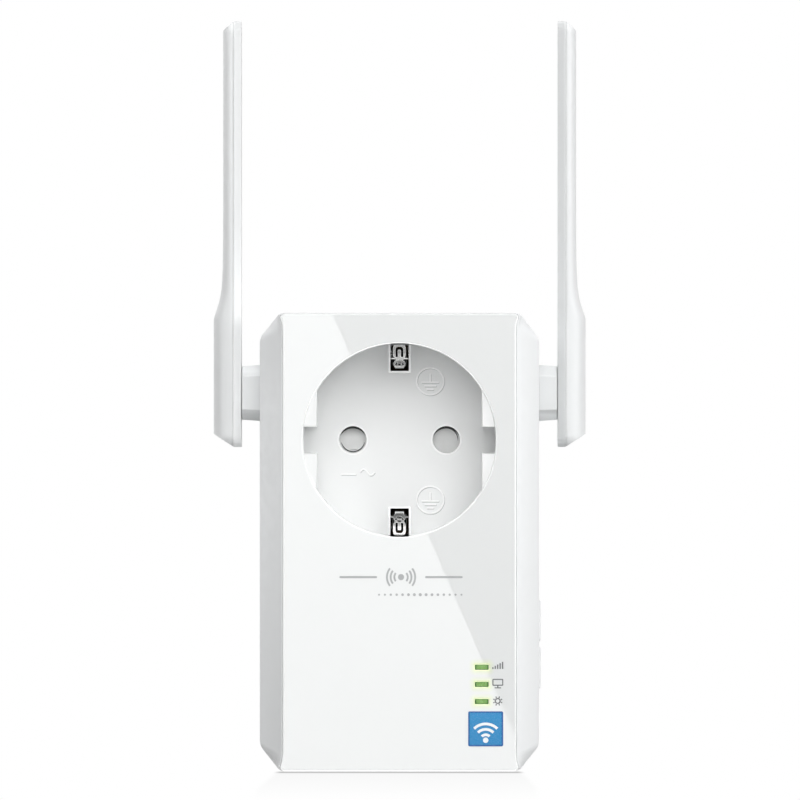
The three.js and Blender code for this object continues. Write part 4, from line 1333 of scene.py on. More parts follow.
def build_outlet_marks():
    """Raised earth symbols, a wave and a short rule on the outlet's floor. Each has a painted
    shadow just behind it: a darker flat copy, shifted down and to the right."""
    for name, x, z in (
        ("outlet_earth_mark_lower", 6.2, -12.25), ("outlet_earth_mark_upper", 6.2, 11.9),
    ):
        floor_mark(name, earth_symbol(x, z, RAISED, 0.07), "mark_white")
        floor_mark(name + "_painted_shadow", earth_symbol(x + 0.12, z - 0.14, PAINTED_SHADOW_DEPTHS), "mark_painted_shadow")
    wave = [
        (-8.1 + 3.0 * i / 24, -6.6 + 0.62 * math.sin(2 * math.pi * i / 24)) for i in range(25)
    ]
    shifted = [(x + 0.1, z - 0.13) for x, z in wave]
    floor_mark("outlet_current_painted_shadow", [stroke(shifted, 0.3, PAINTED_SHADOW_DEPTHS)], "mark_painted_shadow")
    floor_mark("outlet_current_mark", [stroke(wave, 0.3, RAISED, 0.07)], "mark_white")
    rule, shifted = [(-11.9, -7.05), (-8.9, -7.05)], [(-11.8, -7.19), (-8.8, -7.19)]
    floor_mark("outlet_rating_painted_shadow", [stroke(shifted, 0.24, PAINTED_SHADOW_DEPTHS)], "mark_painted_shadow")
    floor_mark("outlet_rating_rule", [stroke(rule, 0.24, RAISED, 0.06)], "mark_white")


def build_slot_lips():
    """A raised U round each earth slot, open away from the axis."""
    outline = [
        (-2.20, 19.34), (-2.20, 13.67), (2.20, 13.67), (2.20, 19.34),
        (1.89, 19.34), (1.89, 13.97), (-1.89, 13.97), (-1.89, 19.34),
    ]
    parts = []
    for side in (-1, 1):
        points = [(x, side * z) for x, z in outline]
        parts.append(plate("lip", points, [], CUP_FLOOR - 0.16, CUP_FLOOR + 0.05, 0.07, 0.0, 3))
    floor_mark("outlet_slot_lips", parts, "lip_white")


def build_slot_shade_sleeves():
    """Black sleeves behind the earth slots, round the roots of the clips: painted shade in the
    slots.
    """
    parts = []
    for side in (-1, 1):
        outer = rect(0, side * SLOT_Z, 4.9, 8.6, 0.3, 3)
        inner = rect(0, side * SLOT_Z, 4.2, 7.9, 0.2, 3)
        parts.append(plate("sleeve", outer, [inner], CUP_BACK + 0.02, -32.0, 0.0, 0.12, 3))
    finish(joined("outlet_slot_shade_sleeves", parts), "housing", "black_plastic", sharp=35)


# ------------------------------------------------------------------ shutter


def tapered_arc(x, z, radius, half_width, start, end):
    """A sliver along an arc, full width in the middle and thin at both ends."""
    steps = 40
    outer, inner = [], []
    for i in range(steps + 1):
        part = i / steps
        half = half_width * (0.25 + 0.75 * math.sin(math.pi * part) ** 0.6)
        turn = math.radians(start + (end - start) * part)
        for points, reach in ((outer, radius + half), (inner, radius - half)):
            points.append((x + reach * math.cos(turn), z + reach * math.sin(turn)))
    return outer + inner[::-1]


def build_shutter():
    front, back = -38.1, -36.3
    half_angle = 24
    # side, then the groove's start and end angles, radius, half width and the depth of its black
    # sheet
    grooves = ((-1, 193, 347, 2.42, 0.13, 0.12), (1, -4, 112, 2.36, 0.09, 0.3))
    shadow_sheets = []
    disc = [(1.68, front), (3.4, front), (3.4, back), (1.68, back)]
    ob = revolve("shutter_disc", disc, "y", (0, 0), 48, closed=True)
    for side, start, end, radius, half_width, sunk in grooves:
        fan = ring_outline = arc(0, 0, 13, -half_angle, half_angle, 16)
        fan = ring_outline + arc(0, 0, 6, half_angle, -half_angle, 12)
        fan = [(side * x, z) for x, z in fan]
        pad = plate("pad", fan, [], front, back, 0.15, 0.15, 3)
        arm = bar(*span(side, 2.6, 7), front + 0.01, back - 0.01, -2, 2)
        fuse(ob, arm, pad)
        x = side * PIN_X
        crescent = ccw(arc(x, 0, 2.86, 24, 156, 40) + arc(x, -0.70, 2.98, 150, 30, 40))
        # the black sheets set into the crescents and grooves are painted shade
        cut(ob, plate("crescent", crescent, [], front - 1, back - 0.5))
        shadow_sheets.append(plate("shadow_sheet", shift_in(crescent, -0.01), [], front + 0.25, back - 0.45))
        groove = tapered_arc(x, -0.02, radius, half_width, start, end)
        cut(ob, plate("groove", groove, [], front - 1, front + 0.7))
        shadow_sheet = shift_in(ccw(groove), -0.01)
        shadow_sheets.append(plate("shadow_sheet", shadow_sheet, [], front + sunk, front + 0.75))
        ridge = ccw(tapered_arc(x, -0.02, radius - 0.2, 0.09, start + 4, end - 4))
        fuse(ob, plate("ridge", ridge, [], front - 0.13, front + 0.2, 0.04, 0.0, 2))
    tidy(ob)
    finish(ob, "shutter", "inner_white", ["shutter_rotor"], look="shutter_white", sharp=30)
    finish(joined("shutter_shadow_sheets", shadow_sheets), "shutter", "black_plastic", sharp=30)


# ------------------------------------------------------------------ earth clips

# The spring strip seen from the side, as (y, distance from the axis), from root to tip.
CLIP_PATH = [
    (-31, 18.15), (-37, 18.15), (-41, 17.6), (-46.0, 14.95), (-46.9, 14.70), (-48.8, 14.66),
    (-49.8, 14.95), (-51.3, 16.2), (-52.6, 17.5), (-53.7, 18.9),
]
# The rest are seen from the front, as (x, distance from the axis).
# The outer part of the face's right-hand edge, the same on both clips.
CLIP_TAIL = [(1.22, 16.95), (1.27, 17.3), (1.27, 18.6), (1.16, 19.0), (0.85, 19.3), (0.4, 19.42)]
# The inner part of that edge, for the clip above the axis (1) and the one below (-1).
CLIP_HEAD = {
    1: [
        (0.55, 14.4), (0.95, 14.75), (1.2, 15.15), (1.2, 15.6), (0.95, 15.95), (0.7, 16.15),
        (0.75, 16.3), (1.82, 16.36), (1.82, 16.52), (1.0, 16.62),
    ],
    -1: [
        (0.45, 14.4), (0.8, 14.9), (1.15, 15.4), (1.82, 15.5), (1.82, 15.66), (1.22, 15.75),
        (1.2, 16.0), (0.92, 16.3), (0.95, 16.6),
    ],
}
# A U-shaped slot that leaves a tongue in the face.
CLIP_SLOT = [
    (0.30, 16.75), (0.80, 16.75), (0.80, 18.35), (0.66, 18.68), (0.35, 18.86), (-0.35, 18.86),
    (-0.66, 18.68), (-0.80, 18.35), (-0.80, 16.75), (-0.30, 16.75), (-0.34, 18.05),
    (-0.22, 18.25), (0.22, 18.25), (0.34, 18.05),
]
# The right-hand one of a pair of small openings beside the middle.
CLIP_EYE = {
    1: [(0.42, 15.75), (0.80, 15.45), (0.92, 15.2), (0.62, 15.0), (0.48, 15.4)],
    -1: [(0.62, 15.78), (0.95, 16.1), (0.70, 16.3), (0.45, 16.0)],
}


def clip_middle_eyes(side):
    if side > 0:
        return [circle(0, 15.22, 0.27, 24)]
    trapezium = [(-0.5, 16.26), (0.5, 16.26), (0.34, 16.6), (-0.34, 16.6)]
    return [rect(0, 15.62, 0.9, 0.26, 0.08, 3), rounded(trapezium, 0.05, 2)]


def build_earth_clip(side, node):
    """A sprung contact: a bent strip whose front face is cut to shape, with side ears, small
    openings and a tongue."""

    def strip(path, half_width, thick=0.36):
        left, right = offset_sides(path, thick / 2)
        points = [(y, side * z) for y, z in left + right[::-1]]
        return plate("rail", points, [], -half_width, half_width, 0.09, 0.09, 2, axis="x")

    def flipped(points):
        return [(x, side * z) for x, z in points]

    dense = along(CLIP_PATH, 60)
    front = [p for p in dense if p[0] <= -44.6]
    # the tip runs on a little past the path
    last, tail = front[-1], front[-2]
    more = 0.35 / math.dist(last, tail)
    front.append((last[0] + (last[0] - tail[0]) * more, last[1] + (last[1] - tail[1]) * more))
    ob = strip([p for p in dense if p[0] > -45.5], 1.4, 0.42)
    face = strip(front, 1.84)

    half = CLIP_HEAD[side] + CLIP_TAIL
    shape = half + [(-x, z) for x, z in half[::-1]]
    eyes = clip_middle_eyes(side)
    for mirror in (-1, 1):
        eyes.append(rounded([(mirror * x, z) for x, z in CLIP_EYE[side]], 0.04, 2))
    holes = [flipped(hole) for hole in [CLIP_SLOT] + eyes]
    trim = plate("trim", flipped(shape), holes, -58, -49.4)
    fuse(ob, strip([p for p in dense if -49.6 < p[0] < -45.0], 0.9))
    boolean(face, [trim], "INTERSECT")
    fuse(ob, face)
    tidy(ob)
    ob.name = node + "_spring"
    finish(ob, node, "nickel", [node], look="clip_metal", sharp=35, bevel=0.07)


# ------------------------------------------------------------------ wall plug


def plug_outline(grow=0.0):
    """A circle with flattened sides and a rib on each of them."""
    radius, flat, rib_x, rib_z = 18.4 + grow, 16.3 + grow, 18.2 + grow, 2.4 + grow
    turn = math.degrees(math.acos(flat / radius))
    right = [(flat, -rib_z), (rib_x, -rib_z), (rib_x, rib_z), (flat, rib_z)]
    top = arc(0, 0, radius, turn, 180 - turn, 60)
    left = [(-x, -z) for x, z in right]
    return right + top + left + arc(0, 0, radius, 180 + turn, 360 - turn, 60)


def build_plug():
    front, flange_back = -21.0, -19.4
    ob = plate("plug_body_moulding", plug_outline(), [], front, 0.0, 0.0, 0.7, 5)
    flange = [(0, front - 0.001), (20.35, front - 0.001), (20.35, flange_back), (0, flange_back)]
    fuse(ob, revolve("flange", flange, "y", (0, 0), 96))
    radius, flat = 18.4 - 2.2, 16.3 - 2.2
    turn = math.degrees(math.acos(flat / radius))
    hollow = arc(0, 0, radius, turn, 180 - turn, 40)
    hollow += arc(0, 0, radius, 180 + turn, 360 - turn, 40)
    cut(ob, plate("hollow", hollow, [], front - 1, -2.4))
    boss = [(0, front), (4.2, front), (4.2, -2.0), (0, -2.0)]
    bore = [(0, -25), (2.5, -25), (2.5, -0.25), (2.75, 0.01), (2.75, 2), (0, 2)]
    for x in (-PIN_X, PIN_X):
        fuse(ob, revolve("boss", boss, "y", (x, 0), 48))
        cut(ob, revolve("bore", bore, "y", (x, 0), 48))
    earth = [(0, -5), (2.7, -5), (2.7, -0.4), (3.1, 0.01), (3.1, 2), (0, 2)]
    cut(ob, revolve("earth", earth, "y", (0, 10), 48))
    # recesses for the earth contacts, above and below
    for side in (-1, 1):
        cut(ob, bar(-2.7, 2.7, flange_back + 0.01, -1.2, *span(side, 16.95, 19.2)))
        cut(ob, bar(-2.7, 2.7, front - 1, -1.21, *span(side, 16.95, 18.05)))
    tidy(ob)
    finish(ob, "housing", "satin_white", ["plug_body"], sharp=30)


def build_plug_pins():
    profile = [(0, -21.25), (2.2, -21.25), (2.4, -21.05), (2.4, 16.4)]
    for k in range(1, 9):
        turn = math.pi / 2 * k / 9
        profile.append((2.4 * math.cos(turn), 16.4 + 2.6 * math.sin(turn)))
    profile.append((0, 19.0))
    for name, x in (("plug_pin_live", PIN_X), ("plug_pin_neutral", -PIN_X)):
        pin = revolve(name + "_turned", profile, "y", (x, 0), 56)
        finish(pin, "housing", "nickel", [name], sharp=30)


# ------------------------------------------------------------------ hinge blocks


def build_knuckle(side, node):
    """An eight-sided block that tapers outwards, with a flange inside the wall and a bore."""
    half_z = KNUCKLE[1]
    end_x, end_round = 31.8, 0.3
    taper = 5.45 / half_z
    # (x, scale in y, scale in z)
    stations = [(26.0, 1.0, 1.0), (28.3, 1.0, 1.0), (end_x, 1.0, taper)]
    for k in range(1, 5):
        inset, depth = quarter_round(k / 4)
        scale = 1 - end_round * inset / half_z
        stations.append((end_x + end_round * (1 - depth), scale, taper * scale))
    rings = [
        [
            (side * x, HINGE_Y + (y - HINGE_Y) * scale_y, HINGE_Z + (z - HINGE_Z) * scale_z)
            for y, z in octagon(*KNUCKLE)
        ]
        for x, scale_y, scale_z in stations
    ]
    ob = loft(node + "_block", rings)
    flange = rect(HINGE_Y, HINGE_Z, 13.6, 12.8, 0.8)
    fuse(ob, plate("flange", flange, [], *span(side, 24.0, 26.15), 0.2, 0.2, 3, axis="x"))
    for name, radius, near in (("bore", 3.1, 22), ("recess", 4.6, 31.75)):
        low, high = span(side, near, 34)
        profile = [(0, low), (radius, low), (radius, high), (0, high)]
        cut(ob, revolve(name, profile, "x", (HINGE_Y, HINGE_Z)))
    tidy(ob)
    finish(ob, "housing", "satin_white", [node], look="hinge_white", sharp=34)


# ------------------------------------------------------------------ antennas

ANT_BOTTOM, ANT_TOP = -1.5, 85.2
SPLIT = 33.85  # x of the joint between the outer and the inner cover
# How far out an antenna's outer face lies: (z, x), rising.
SHELL = [
    (ANT_BOTTOM, 33.98), (-1.2, 34.30), (-0.6, 35.20), (0.0, 36.10), (0.7, 37.15), (1.1, 37.70),
    (1.35, 37.84), (1.9, 37.87), (12.0, 37.87), (24.4, 37.87), (24.9, 37.80), (26.6, 37.22),
    (28.4, 36.66), (30.6, 36.28), (34.7, 36.06), (39.5, 35.98), (46, 35.95), (60, 35.95),
    (82.3, 35.95), (82.9, 35.84), (83.4, 35.45), (84.0, 34.95), (84.6, 34.42), (84.95, 34.12),
    (ANT_TOP, 33.98),
]
# Heights of the outer cover's slices and of its hollow's.
OUTER_HEIGHTS = [
    ANT_BOTTOM, -1.42, -1.25, -0.9, -0.5, 0.0, 0.45, 0.85, 1.1, 1.3, 1.6, 2.2, 4, 8, 12, 18,
    24.2, 24.7, 25.2, 26, 27, 28, 29, 30, 31, 32.5, 34.7, 37, 39.5, 43, 46, 52, 60, 68, 76,
    82.0, 82.4, 82.7, 83.0, 83.3, 83.7, 84.1, 84.5, 84.8, 85.0, 85.14, ANT_TOP,
]
HOLLOW_HEIGHTS = [-0.3, 0.1, 0.8, 1.6, 2.4, 6, 24.5, 27, 30, 35, 46, 60, 80, 82.2, 83.4, 84.3]


def shell_x(height):
    """The outer face's x at a height within the table."""
    for (z0, x0), (z1, x1) in zip(SHELL, SHELL[1:]):
        if height <= z1:
            return x0 + (x1 - x0) * (height - z0) / (z1 - z0)


def corner_width(z, inset=0.0):
    """Half width of an antenna at a height, including the rounded foot and head."""
    radius = 2.3
    part = (z - ANT_BOTTOM) / (ANT_TOP - ANT_BOTTOM)
    half = 7.3 + (6.3 - 7.3) * part - inset
    end = min(z - (ANT_BOTTOM + inset), ANT_TOP - inset - z)
    if end < radius:
        end = max(end, 0)
        half = half - radius + math.sqrt(max(radius * radius - (radius - end) ** 2, 0))
    return half


def bow(steps):
    """Half of a squarish oval as (across, out) shares, from +y round to -y."""
    power = 2 / 2.55
    points = []
    for i in range(steps + 1):
        turn = math.pi * i / steps
        across, out = math.cos(turn), math.sin(turn)
        points.append((math.copysign(abs(across) ** power, across), abs(out) ** power))
    return points


def d_section(side, half, x_out, z):
    """One D-shaped slice of the outer cover, with a fine round at its foot."""
    depth = x_out - SPLIT
    fillet = min(0.1, depth * 0.4)
    points = [
        (SPLIT, HINGE_Y + half - fillet),
        (SPLIT + 0.3 * fillet, HINGE_Y + half - 0.3 * fillet),
    ]
    for across, out in bow(44):
        points.append((SPLIT + fillet + (depth - fillet) * out, HINGE_Y + half * across))
    points += [
        (SPLIT + 0.3 * fillet, HINGE_Y - half + 0.3 * fillet),
        (SPLIT, HINGE_Y - half + fillet),
    ]
    return [(side * x, y, z) for x, y in points]


def antenna_hollow(side):
    """The cutter for the outer cover's inside, open towards the inner cover."""
    wall = 1.1
    rings = []
    for z in HOLLOW_HEIGHTS:
        half = corner_width(z, wall)
        x_out = max(shell_x(z) - wall, SPLIT + 0.35)
        points = [
            (SPLIT + (x_out - SPLIT) * out, HINGE_Y + half * across) for across, out in bow(30)
        ]
        points += [(SPLIT - 0.8, HINGE_Y - half), (SPLIT - 0.8, HINGE_Y + half)]
        rings.append([(side * x, y, z) for x, y in points])
    return loft("hollow", rings)


def build_outer_cover(side, body):
    rings = []
    for z in OUTER_HEIGHTS:
        # the ends run on straight, to be cut off at a slant
        x_out = 37.87 if z < 2 else 35.95 if z > 82 else shell_x(z)
        rings.append(d_section(side, corner_width(z), x_out, z))
    ob = loft(body + "_outer_cover", rings)
    foot = [(30.0, ANT_BOTTOM - 2.34), (30.0, -9.0), (45.0, -9.0), (45.0, ANT_BOTTOM + 7.32)]
    head = [(30.0, ANT_TOP + 3.26), (30.0, 95.0), (45.0, 95.0), (45.0, ANT_TOP - 9.94)]
    for corner in (foot, head):
        cut(ob, plate("slant", ccw([(side * x, z) for x, z in corner]), [], -60, -10))
    cut(ob, antenna_hollow(side))
    tidy(ob)
    finish(ob, body, "satin_white", [body + "_outer_shell"], look="antenna_white", sharp=28)
    add_bevel(ob, "slant_edge", 0.14, segments=2, angle=50)
    ob.modifiers.move(len(ob.modifiers) - 1, 0)


def build_inner_cover(side, body):
    # the rim's section: (x, inset from the half width), from the joint inwards
    rim = [
        (SPLIT - 0.04, 0.06), (SPLIT - 0.10, 0.0), (33.62, 0.0), (33.52, 0.03), (33.42, 0.10),
        (32.27, 1.22), (32.21, 1.29), (32.2, 1.38),
    ]
    foot = 0.22  # radius of the round at both ends
    insets = [foot * quarter_round(k / 4)[0] for k in range(5)]
    stations = [ANT_BOTTOM + inset for inset in insets]
    stations += [-1.0, -0.7, -0.4, 0.0, 0.4, 0.9, 2.0, 10.0, 30.0, 50.0, 70.0]
    stations += [82.0, 83.1, 83.5, 84.0, 84.4, 84.7]
    stations += [ANT_TOP - inset for inset in insets[::-1]]
    rings = []
    for z in stations:
        short = max(foot - min(z - ANT_BOTTOM, ANT_TOP - z), 0.0)
        pull = foot - math.sqrt(foot * foot - short * short) if short else 0.0
        width = corner_width(z)
        half = [(x + pull * (33.0 - x) / 0.85, width - inset - pull) for x, inset in rim]
        points = [(x, HINGE_Y + y) for x, y in half] + [(x, HINGE_Y - y) for x, y in half[::-1]]
        rings.append([(side * x, y, z) for x, y in points])
    ob = loft(body + "_inner_plate", rings)
    low, high = span(side, 31, 35)
    hole = [(0, low), (3.1, low), (3.1, high), (0, high)]
    cut(ob, revolve("hole", hole, "x", (HINGE_Y, HINGE_Z)))
    tidy(ob)
    look = body.replace("antenna", "inner_cover")
    finish(ob, body, "satin_white", [body + "_inner_cover"], look=look, sharp=34)


def build_shaft(side, body):
    """The hollow hinge shaft, with a retaining groove and a collar."""
    # (radius, x)
    profile = [
        (1.2, 22.4), (2.8, 22.4), (3.0, 22.6), (3.0, 22.9), (2.45, 22.9), (2.45, 23.7),
        (3.0, 23.7), (3.0, 31.86), (4.2, 31.86), (4.3, 31.92), (4.3, 32.04), (4.2, 32.1),
        (3.0, 32.1), (3.0, 34.4), (2.8, 34.6), (1.2, 34.6),
    ]
    profile = [(radius, side * x) for radius, x in profile]
    ob = revolve(body + "_hollow_shaft", profile, "x", (HINGE_Y, HINGE_Z), 56, closed=True)
    finish(ob, body, "inner_white", [body + "_shaft"], sharp=30)


# ------------------------------------------------------------------ side buttons


def build_button(body, z):
    """A cap in the right-hand wall, with a flange and a stem behind it."""
    ob = plate(
        body + "_cap", rect(BUTTON_Y, z, 6.0, 8.4, 0.45, 6), [], 26.0, 28.7, 0.0, 0.42, 6,
        axis="x",
    )
    flange_outline = rect(BUTTON_Y, z, 7.6, 9.3, 0.4)
    flange = plate("flange", flange_outline, [], 25.2, 26.1, 0.15, 0.1, 2, axis="x")
    stem = [(0, 22.2), (1.0, 22.2), (1.2, 22.4), (1.2, 25.4), (0, 25.4)]
    fuse(ob, flange, revolve("stem", stem, "x", (BUTTON_Y, z), 32))
    tidy(ob)
    finish(ob, body, "satin_white", [body], sharp=34)


# ------------------------------------------------------------------ printed marks on the panel


def printed(name, shapes, slot, look=None, depth=0.022, y=PANEL_FRONT):
    """Thin (outline, holes) shapes that stand out from the plane y."""
    front = y - depth
    parts = [plate("shape", outline, holes, front, front + depth * 1.2) for outline, holes in shapes]
    finish(joined(name, parts), "housing", slot, look=look, sharp=30, weighted=False)


def print_signal_bars():
    bars = []
    for i in range(5):
        height = 0.35 + 0.27 * i
        bars.append((rect(18.68 + 0.22 + i * 0.49, -46.25 + height / 2, 0.26, height), []))
    printed("print_signal_bars", bars, "print_grey", "print_icon")


def print_screen():
    """A screen on a stand."""
    x, z = 19.9, -49.1

    def frame_outline(half, low, high, radius):
        corners = [(x - half, z - low), (x + half, z - low), (x + half, z + high)]
        return rounded(corners + [(x - half, z + high)], radius, 4)

    shapes = [
        (frame_outline(1.1, 0.55, 0.85, 0.18), [frame_outline(0.88, 0.33, 0.63, 0.08)]),
        (rect(x, z - 0.72, 0.24, 0.34), []),
        (rect(x, z - 0.97, 1.3, 0.2), []),
    ]
    printed("print_network_screen", shapes, "print_grey", "print_icon")


def print_sun():
    x, z = 19.88, -52.72
    ray = [(0.66, -0.11), (0.98, -0.11), (0.98, 0.11), (0.66, 0.11)]
    shapes = [(circle(x, z, 0.60, 32), [circle(x, z, 0.36, 32)])]
    for i in range(8):
        turn = math.radians(45 * i + 22.5)
        cos, sin = math.cos(turn), math.sin(turn)
        shapes.append(([(x + u * cos - v * sin, z + u * sin + v * cos) for u, v in ray], []))
    printed("print_power_sun", shapes, "print_grey", "print_icon")


def print_emblem():
    """A dot with waves to both sides and two plain rules, above a row of dots."""
    x, z = 0.35, -27.7
    shapes = [(circle(x, z, 0.62, 32), [])]
    for radius in (1.35, 2.1, 2.85):
        for start, end in ((-38, 38), (142, 218)):
            wave = ring_sector(x, z, radius - 0.19, radius + 0.19, start, end, 14)
            shapes.append((wave, []))
    shapes += [(rect(rule_x, z, 7.6, 0.42, 0.2, 4), []) for rule_x in (-8.3, 9.0)]
    printed("print_emblem", shapes, "print_grey")
    dots = []
    for i in range(15):
        radius = 0.20 + 0.12 * (1 - abs(i - 7) / 7)
        dots.append((circle(-4.1 + i * 1.19, -31.25, radius, 20), []))
    printed("print_dot_row", dots, "print_grey")


def print_badge():
    """A blue square with a dot and three arcs above it, the common sign for a radio signal."""
    depth = 0.04
    square = rect(BADGE_X, BADGE_Z, BADGE_SIZE, BADGE_SIZE, 0.32, 5)
    printed("badge_square", [(square, [])], "badge_blue", depth=depth)
    z, width = BADGE_Z - 2.3, 0.55
    fan = [(circle(BADGE_X, z, width, 28), [])]
    for i in range(3):
        radius = 3.3 * (i + 1) / 3
        inner, outer = radius - width / 2, radius + width / 2
        fan.append((ring_sector(BADGE_X, z, inner, outer, 45, 135, 18), []))
    printed(
        "badge_wireless_sign", fan, "badge_blue", "print_white", depth=0.02,
        y=PANEL_FRONT - depth,
    )


# ------------------------------------------------------------------ build the pieces

build_panel()
build_front_housing()
build_rear_housing()
build_outlet()
build_outlet_marks()
build_slot_lips()
build_slot_shade_sleeves()
build_shutter()
build_earth_clip(1, "earth_clip_top")
build_earth_clip(-1, "earth_clip_bottom")
build_plug()
build_plug_pins()
for side, name in ((-1, "left"), (1, "right")):
    build_knuckle(side, "knuckle_" + name)
    build_outer_cover(side, "antenna_" + name)
    build_inner_cover(side, "antenna_" + name)
    build_shaft(side, "antenna_" + name)
build_button("power_button", POWER_Z)
build_button("extender_button", EXTEND_Z)
print_signal_bars()
print_screen()
print_sun()
print_emblem()
print_badge()

# ------------------------------------------------------------------ CAD nodes that stay

# bevel width: the nodes that get it
BEVELS = {
    0.25: ("terminal_block", "transformer"),
    0.2: ("network_jack", "power_switch", "extender_switch", "reset_switch"),
    0.15: ("plug_earth_contact_top", "plug_earth_contact_bottom", "shield_can"),
    0.12: ("earth_strap", "reset_button"),
    0.1: ("plug_earth_sleeve",),
    0.08: (
        "power_board", "logic_board", "radio_chip", "led_signal", "led_network", "led_power",
        "light_pipe_signal", "light_pipe_network", "light_pipe_power", "socket_terminal_live",
        "socket_terminal_neutral", "antenna_left_element", "antenna_right_element",
    ),
    0.06: ("jack_contacts", "antenna_left_retaining_ring", "antenna_right_retaining_ring"),
}
BEVEL_OF = {node: width for width, nodes in BEVELS.items() for node in nodes}
SLOT_OF = {part["node"]: part["material_slot"] for part in frame["record"]["subparts"]}


def dress_cad_node(node, ob):
    slot = SLOT_OF[node]
    # the earth strap takes the near-black brass: painted shade in the earth slots
    shade(ob.data, LOOKS["brass_dark" if node == "earth_strap" else slot], 32)
    ob.modifiers.new("weld", "WELD").merge_threshold = 1e-6
    if node in BEVEL_OF:
        planes = ob.modifiers.new("planes", "DECIMATE")
        planes.decimate_type = "DISSOLVE"
        planes.angle_limit = math.radians(1.0)
        add_bevel(ob, "edge", BEVEL_OF[node], segments=2, angle=40)
    weigh_normals(ob)


for node, ob in frame["nodes"].items():
    if not ob.hide_render:
        dress_cad_node(node, ob)

# ------------------------------------------------------------------ camera

VIEW_WIDTH = 161.61616  # width seen at the panel's face
LENS, SENSOR = 568.0, 36.0
TURN = math.radians(0.2)  # how far the camera stands to the right
AIM = Vector((0.14, PANEL_FRONT, 8.08))
DISTANCE = (VIEW_WIDTH / 2) / (SENSOR / 2 / LENS)
EYE = AIM + Vector((math.sin(TURN), -math.cos(TURN), 0.0)) * DISTANCE


def build_camera():
    data = bpy.data.cameras.new("camera")
    data.lens = LENS
    data.sensor_width = SENSOR
    data.clip_start = 0.05
    data.clip_end = 50.0
    ob = link("camera", data)
    ob.location = EYE * MM
    ob.rotation_euler = (AIM - EYE).to_track_quat("-Z", "Y").to_euler()
    bpy.context.scene.camera = ob


# ------------------------------------------------------------------ floor


def edge_on_painted_shadow(net, place, eye):
    """How much painted shadow and reflection darken the floor seen almost edge-on: a contact line
    and a faint veil outside each side of the body, strongest when looked at from that side."""
    spot = net.axes(place)
    mid_y = (PANEL_FRONT + REAR_FACE) / 2
    total = None
    # axis, the body's face on it, outward direction, then middle and half width of that face
    for axis, face, outward, middle, half in (
        (1, PANEL_FRONT, -1, 0.0, 24.5), (1, REAR_FACE, 1, 0.0, 24.5),
        (0, HALF_WIDTH, 1, mid_y, 19.0), (0, -HALF_WIDTH, -1, mid_y, 19.0),
    ):
        away = net.mul(net.sub(spot[axis], face * MM), float(outward))
        across = net.size(net.sub(spot[1 - axis], middle * MM))
        wide = net.ramp_mm(away, over=(0.0, 105), to=(half * MM, (half + 2.3) * MM))
        inside = net.ramp_mm(net.sub(across, wide), over=(-0.9, 0.9), to=FALL, smooth=True)
        # painted contact shadow, then a painted reflection of the body further out
        line = net.ramp_mm(away, over=(5.5, 15.0), to=(0.42, 0.0), smooth=True)
        painted_reflection = net.ramp_mm(away, over=(20.0, 190.0), to=(0.062, 0.0))
        facing = net.math("MULTIPLY", eye[axis], float(outward), clamp=True)
        started = net.ramp_mm(away, over=(-0.5, 0.0))
        dark = net.mul(net.mul(net.add(line, painted_reflection), inside), net.mul(facing, started))
        total = dark if total is None else net.math("MAXIMUM", total, dark)
    return total


def floor_material():
    """The camera sees a white floor that fades out, with painted shadow and reflection when seen
    edge-on; all other rays meet a greyer cloth.
    """
    net = network("pale_floor")
    place = net.place()
    broad = net.noise(place, size=90.0)
    fine = net.noise(place, size=3.0, detail=3.0)
    pale = net.mix(net.ramp(broad, SOFT), (0.39, 0.39, 0.39), (0.41, 0.41, 0.41))
    pale = net.mix(net.ramp(fine, SOFT, to=(0, 0.3)), pale, (0.42, 0.42, 0.42))

    def matt(colour):
        inputs = {"Base Color": colour, "Roughness": 0.9, "Specular IOR Level": 0.0}
        return net.node("ShaderNodeBsdfPrincipled", inputs).outputs[0]

    cloth = matt(pale)
    white = matt((0.93, 0.93, 0.93))
    bright = net.emission(1.0)
    # distance on the floor from a point under the body
    flat = net.vector("MULTIPLY", place, (1.0, 1.0, 0.0))
    away = net.vector("LENGTH", net.vector("ADD", flat, (0.0, 36.0 * MM, 0.0)))
    fade = net.ramp_mm(away, over=(45, 120), to=(0.45, 1.0), smooth=True)
    seen = net.mix_shaders(fade, white, bright)

    eye = net.axes(net.node("ShaderNodeNewGeometry").outputs["Incoming"])
    low = net.ramp(eye[2], over=(0.06, 0.13), to=FALL, smooth=True)
    edge_on = net.emission(net.sub(1.0, edge_on_painted_shadow(net, place, eye)))
    seen = net.mix_shaders(low, seen, edge_on)
    path = net.node("ShaderNodeLightPath")
    return net.finish(net.mix_shaders(path.outputs["Is Camera Ray"], cloth, seen))


def stage_mesh(name, verts, material):
    mesh = bpy.data.meshes.new(name)
    mesh.from_pydata([Vector(v) * MM for v in verts], [], [tuple(range(len(verts)))])
    mesh.materials.append(material)
    ob = link(name, mesh)
    return ob


def build_floor():
    reach, z = 1600.0, BOTTOM - 0.03
    corners = [(-reach, -reach, z), (reach, -reach, z), (reach, reach, z), (-reach, reach, z)]
    stage_mesh("floor", corners, floor_material()).visible_glossy = False


# ------------------------------------------------------------------ reflected cards


def glow_card(name, verts, material_name, strength):
    """A glowing card that shows only in reflections."""
    net = network(material_name)
    card = stage_mesh(name, verts, net.finish(net.emission(strength)))
    card.visible_camera = False
    card.visible_diffuse = False
    card.visible_shadow = False
    return card


def mirrored(x, z):
    """Where the camera's ray, mirrored at the panel point (x, z), meets a plane behind it."""
    card_y = -1420.0
    ray = Vector((x, PANEL_FRONT, z)) - EYE
    share = (PANEL_FRONT - card_y) / ray.y
    return (x + ray.x * share, card_y, z + ray.z * share)


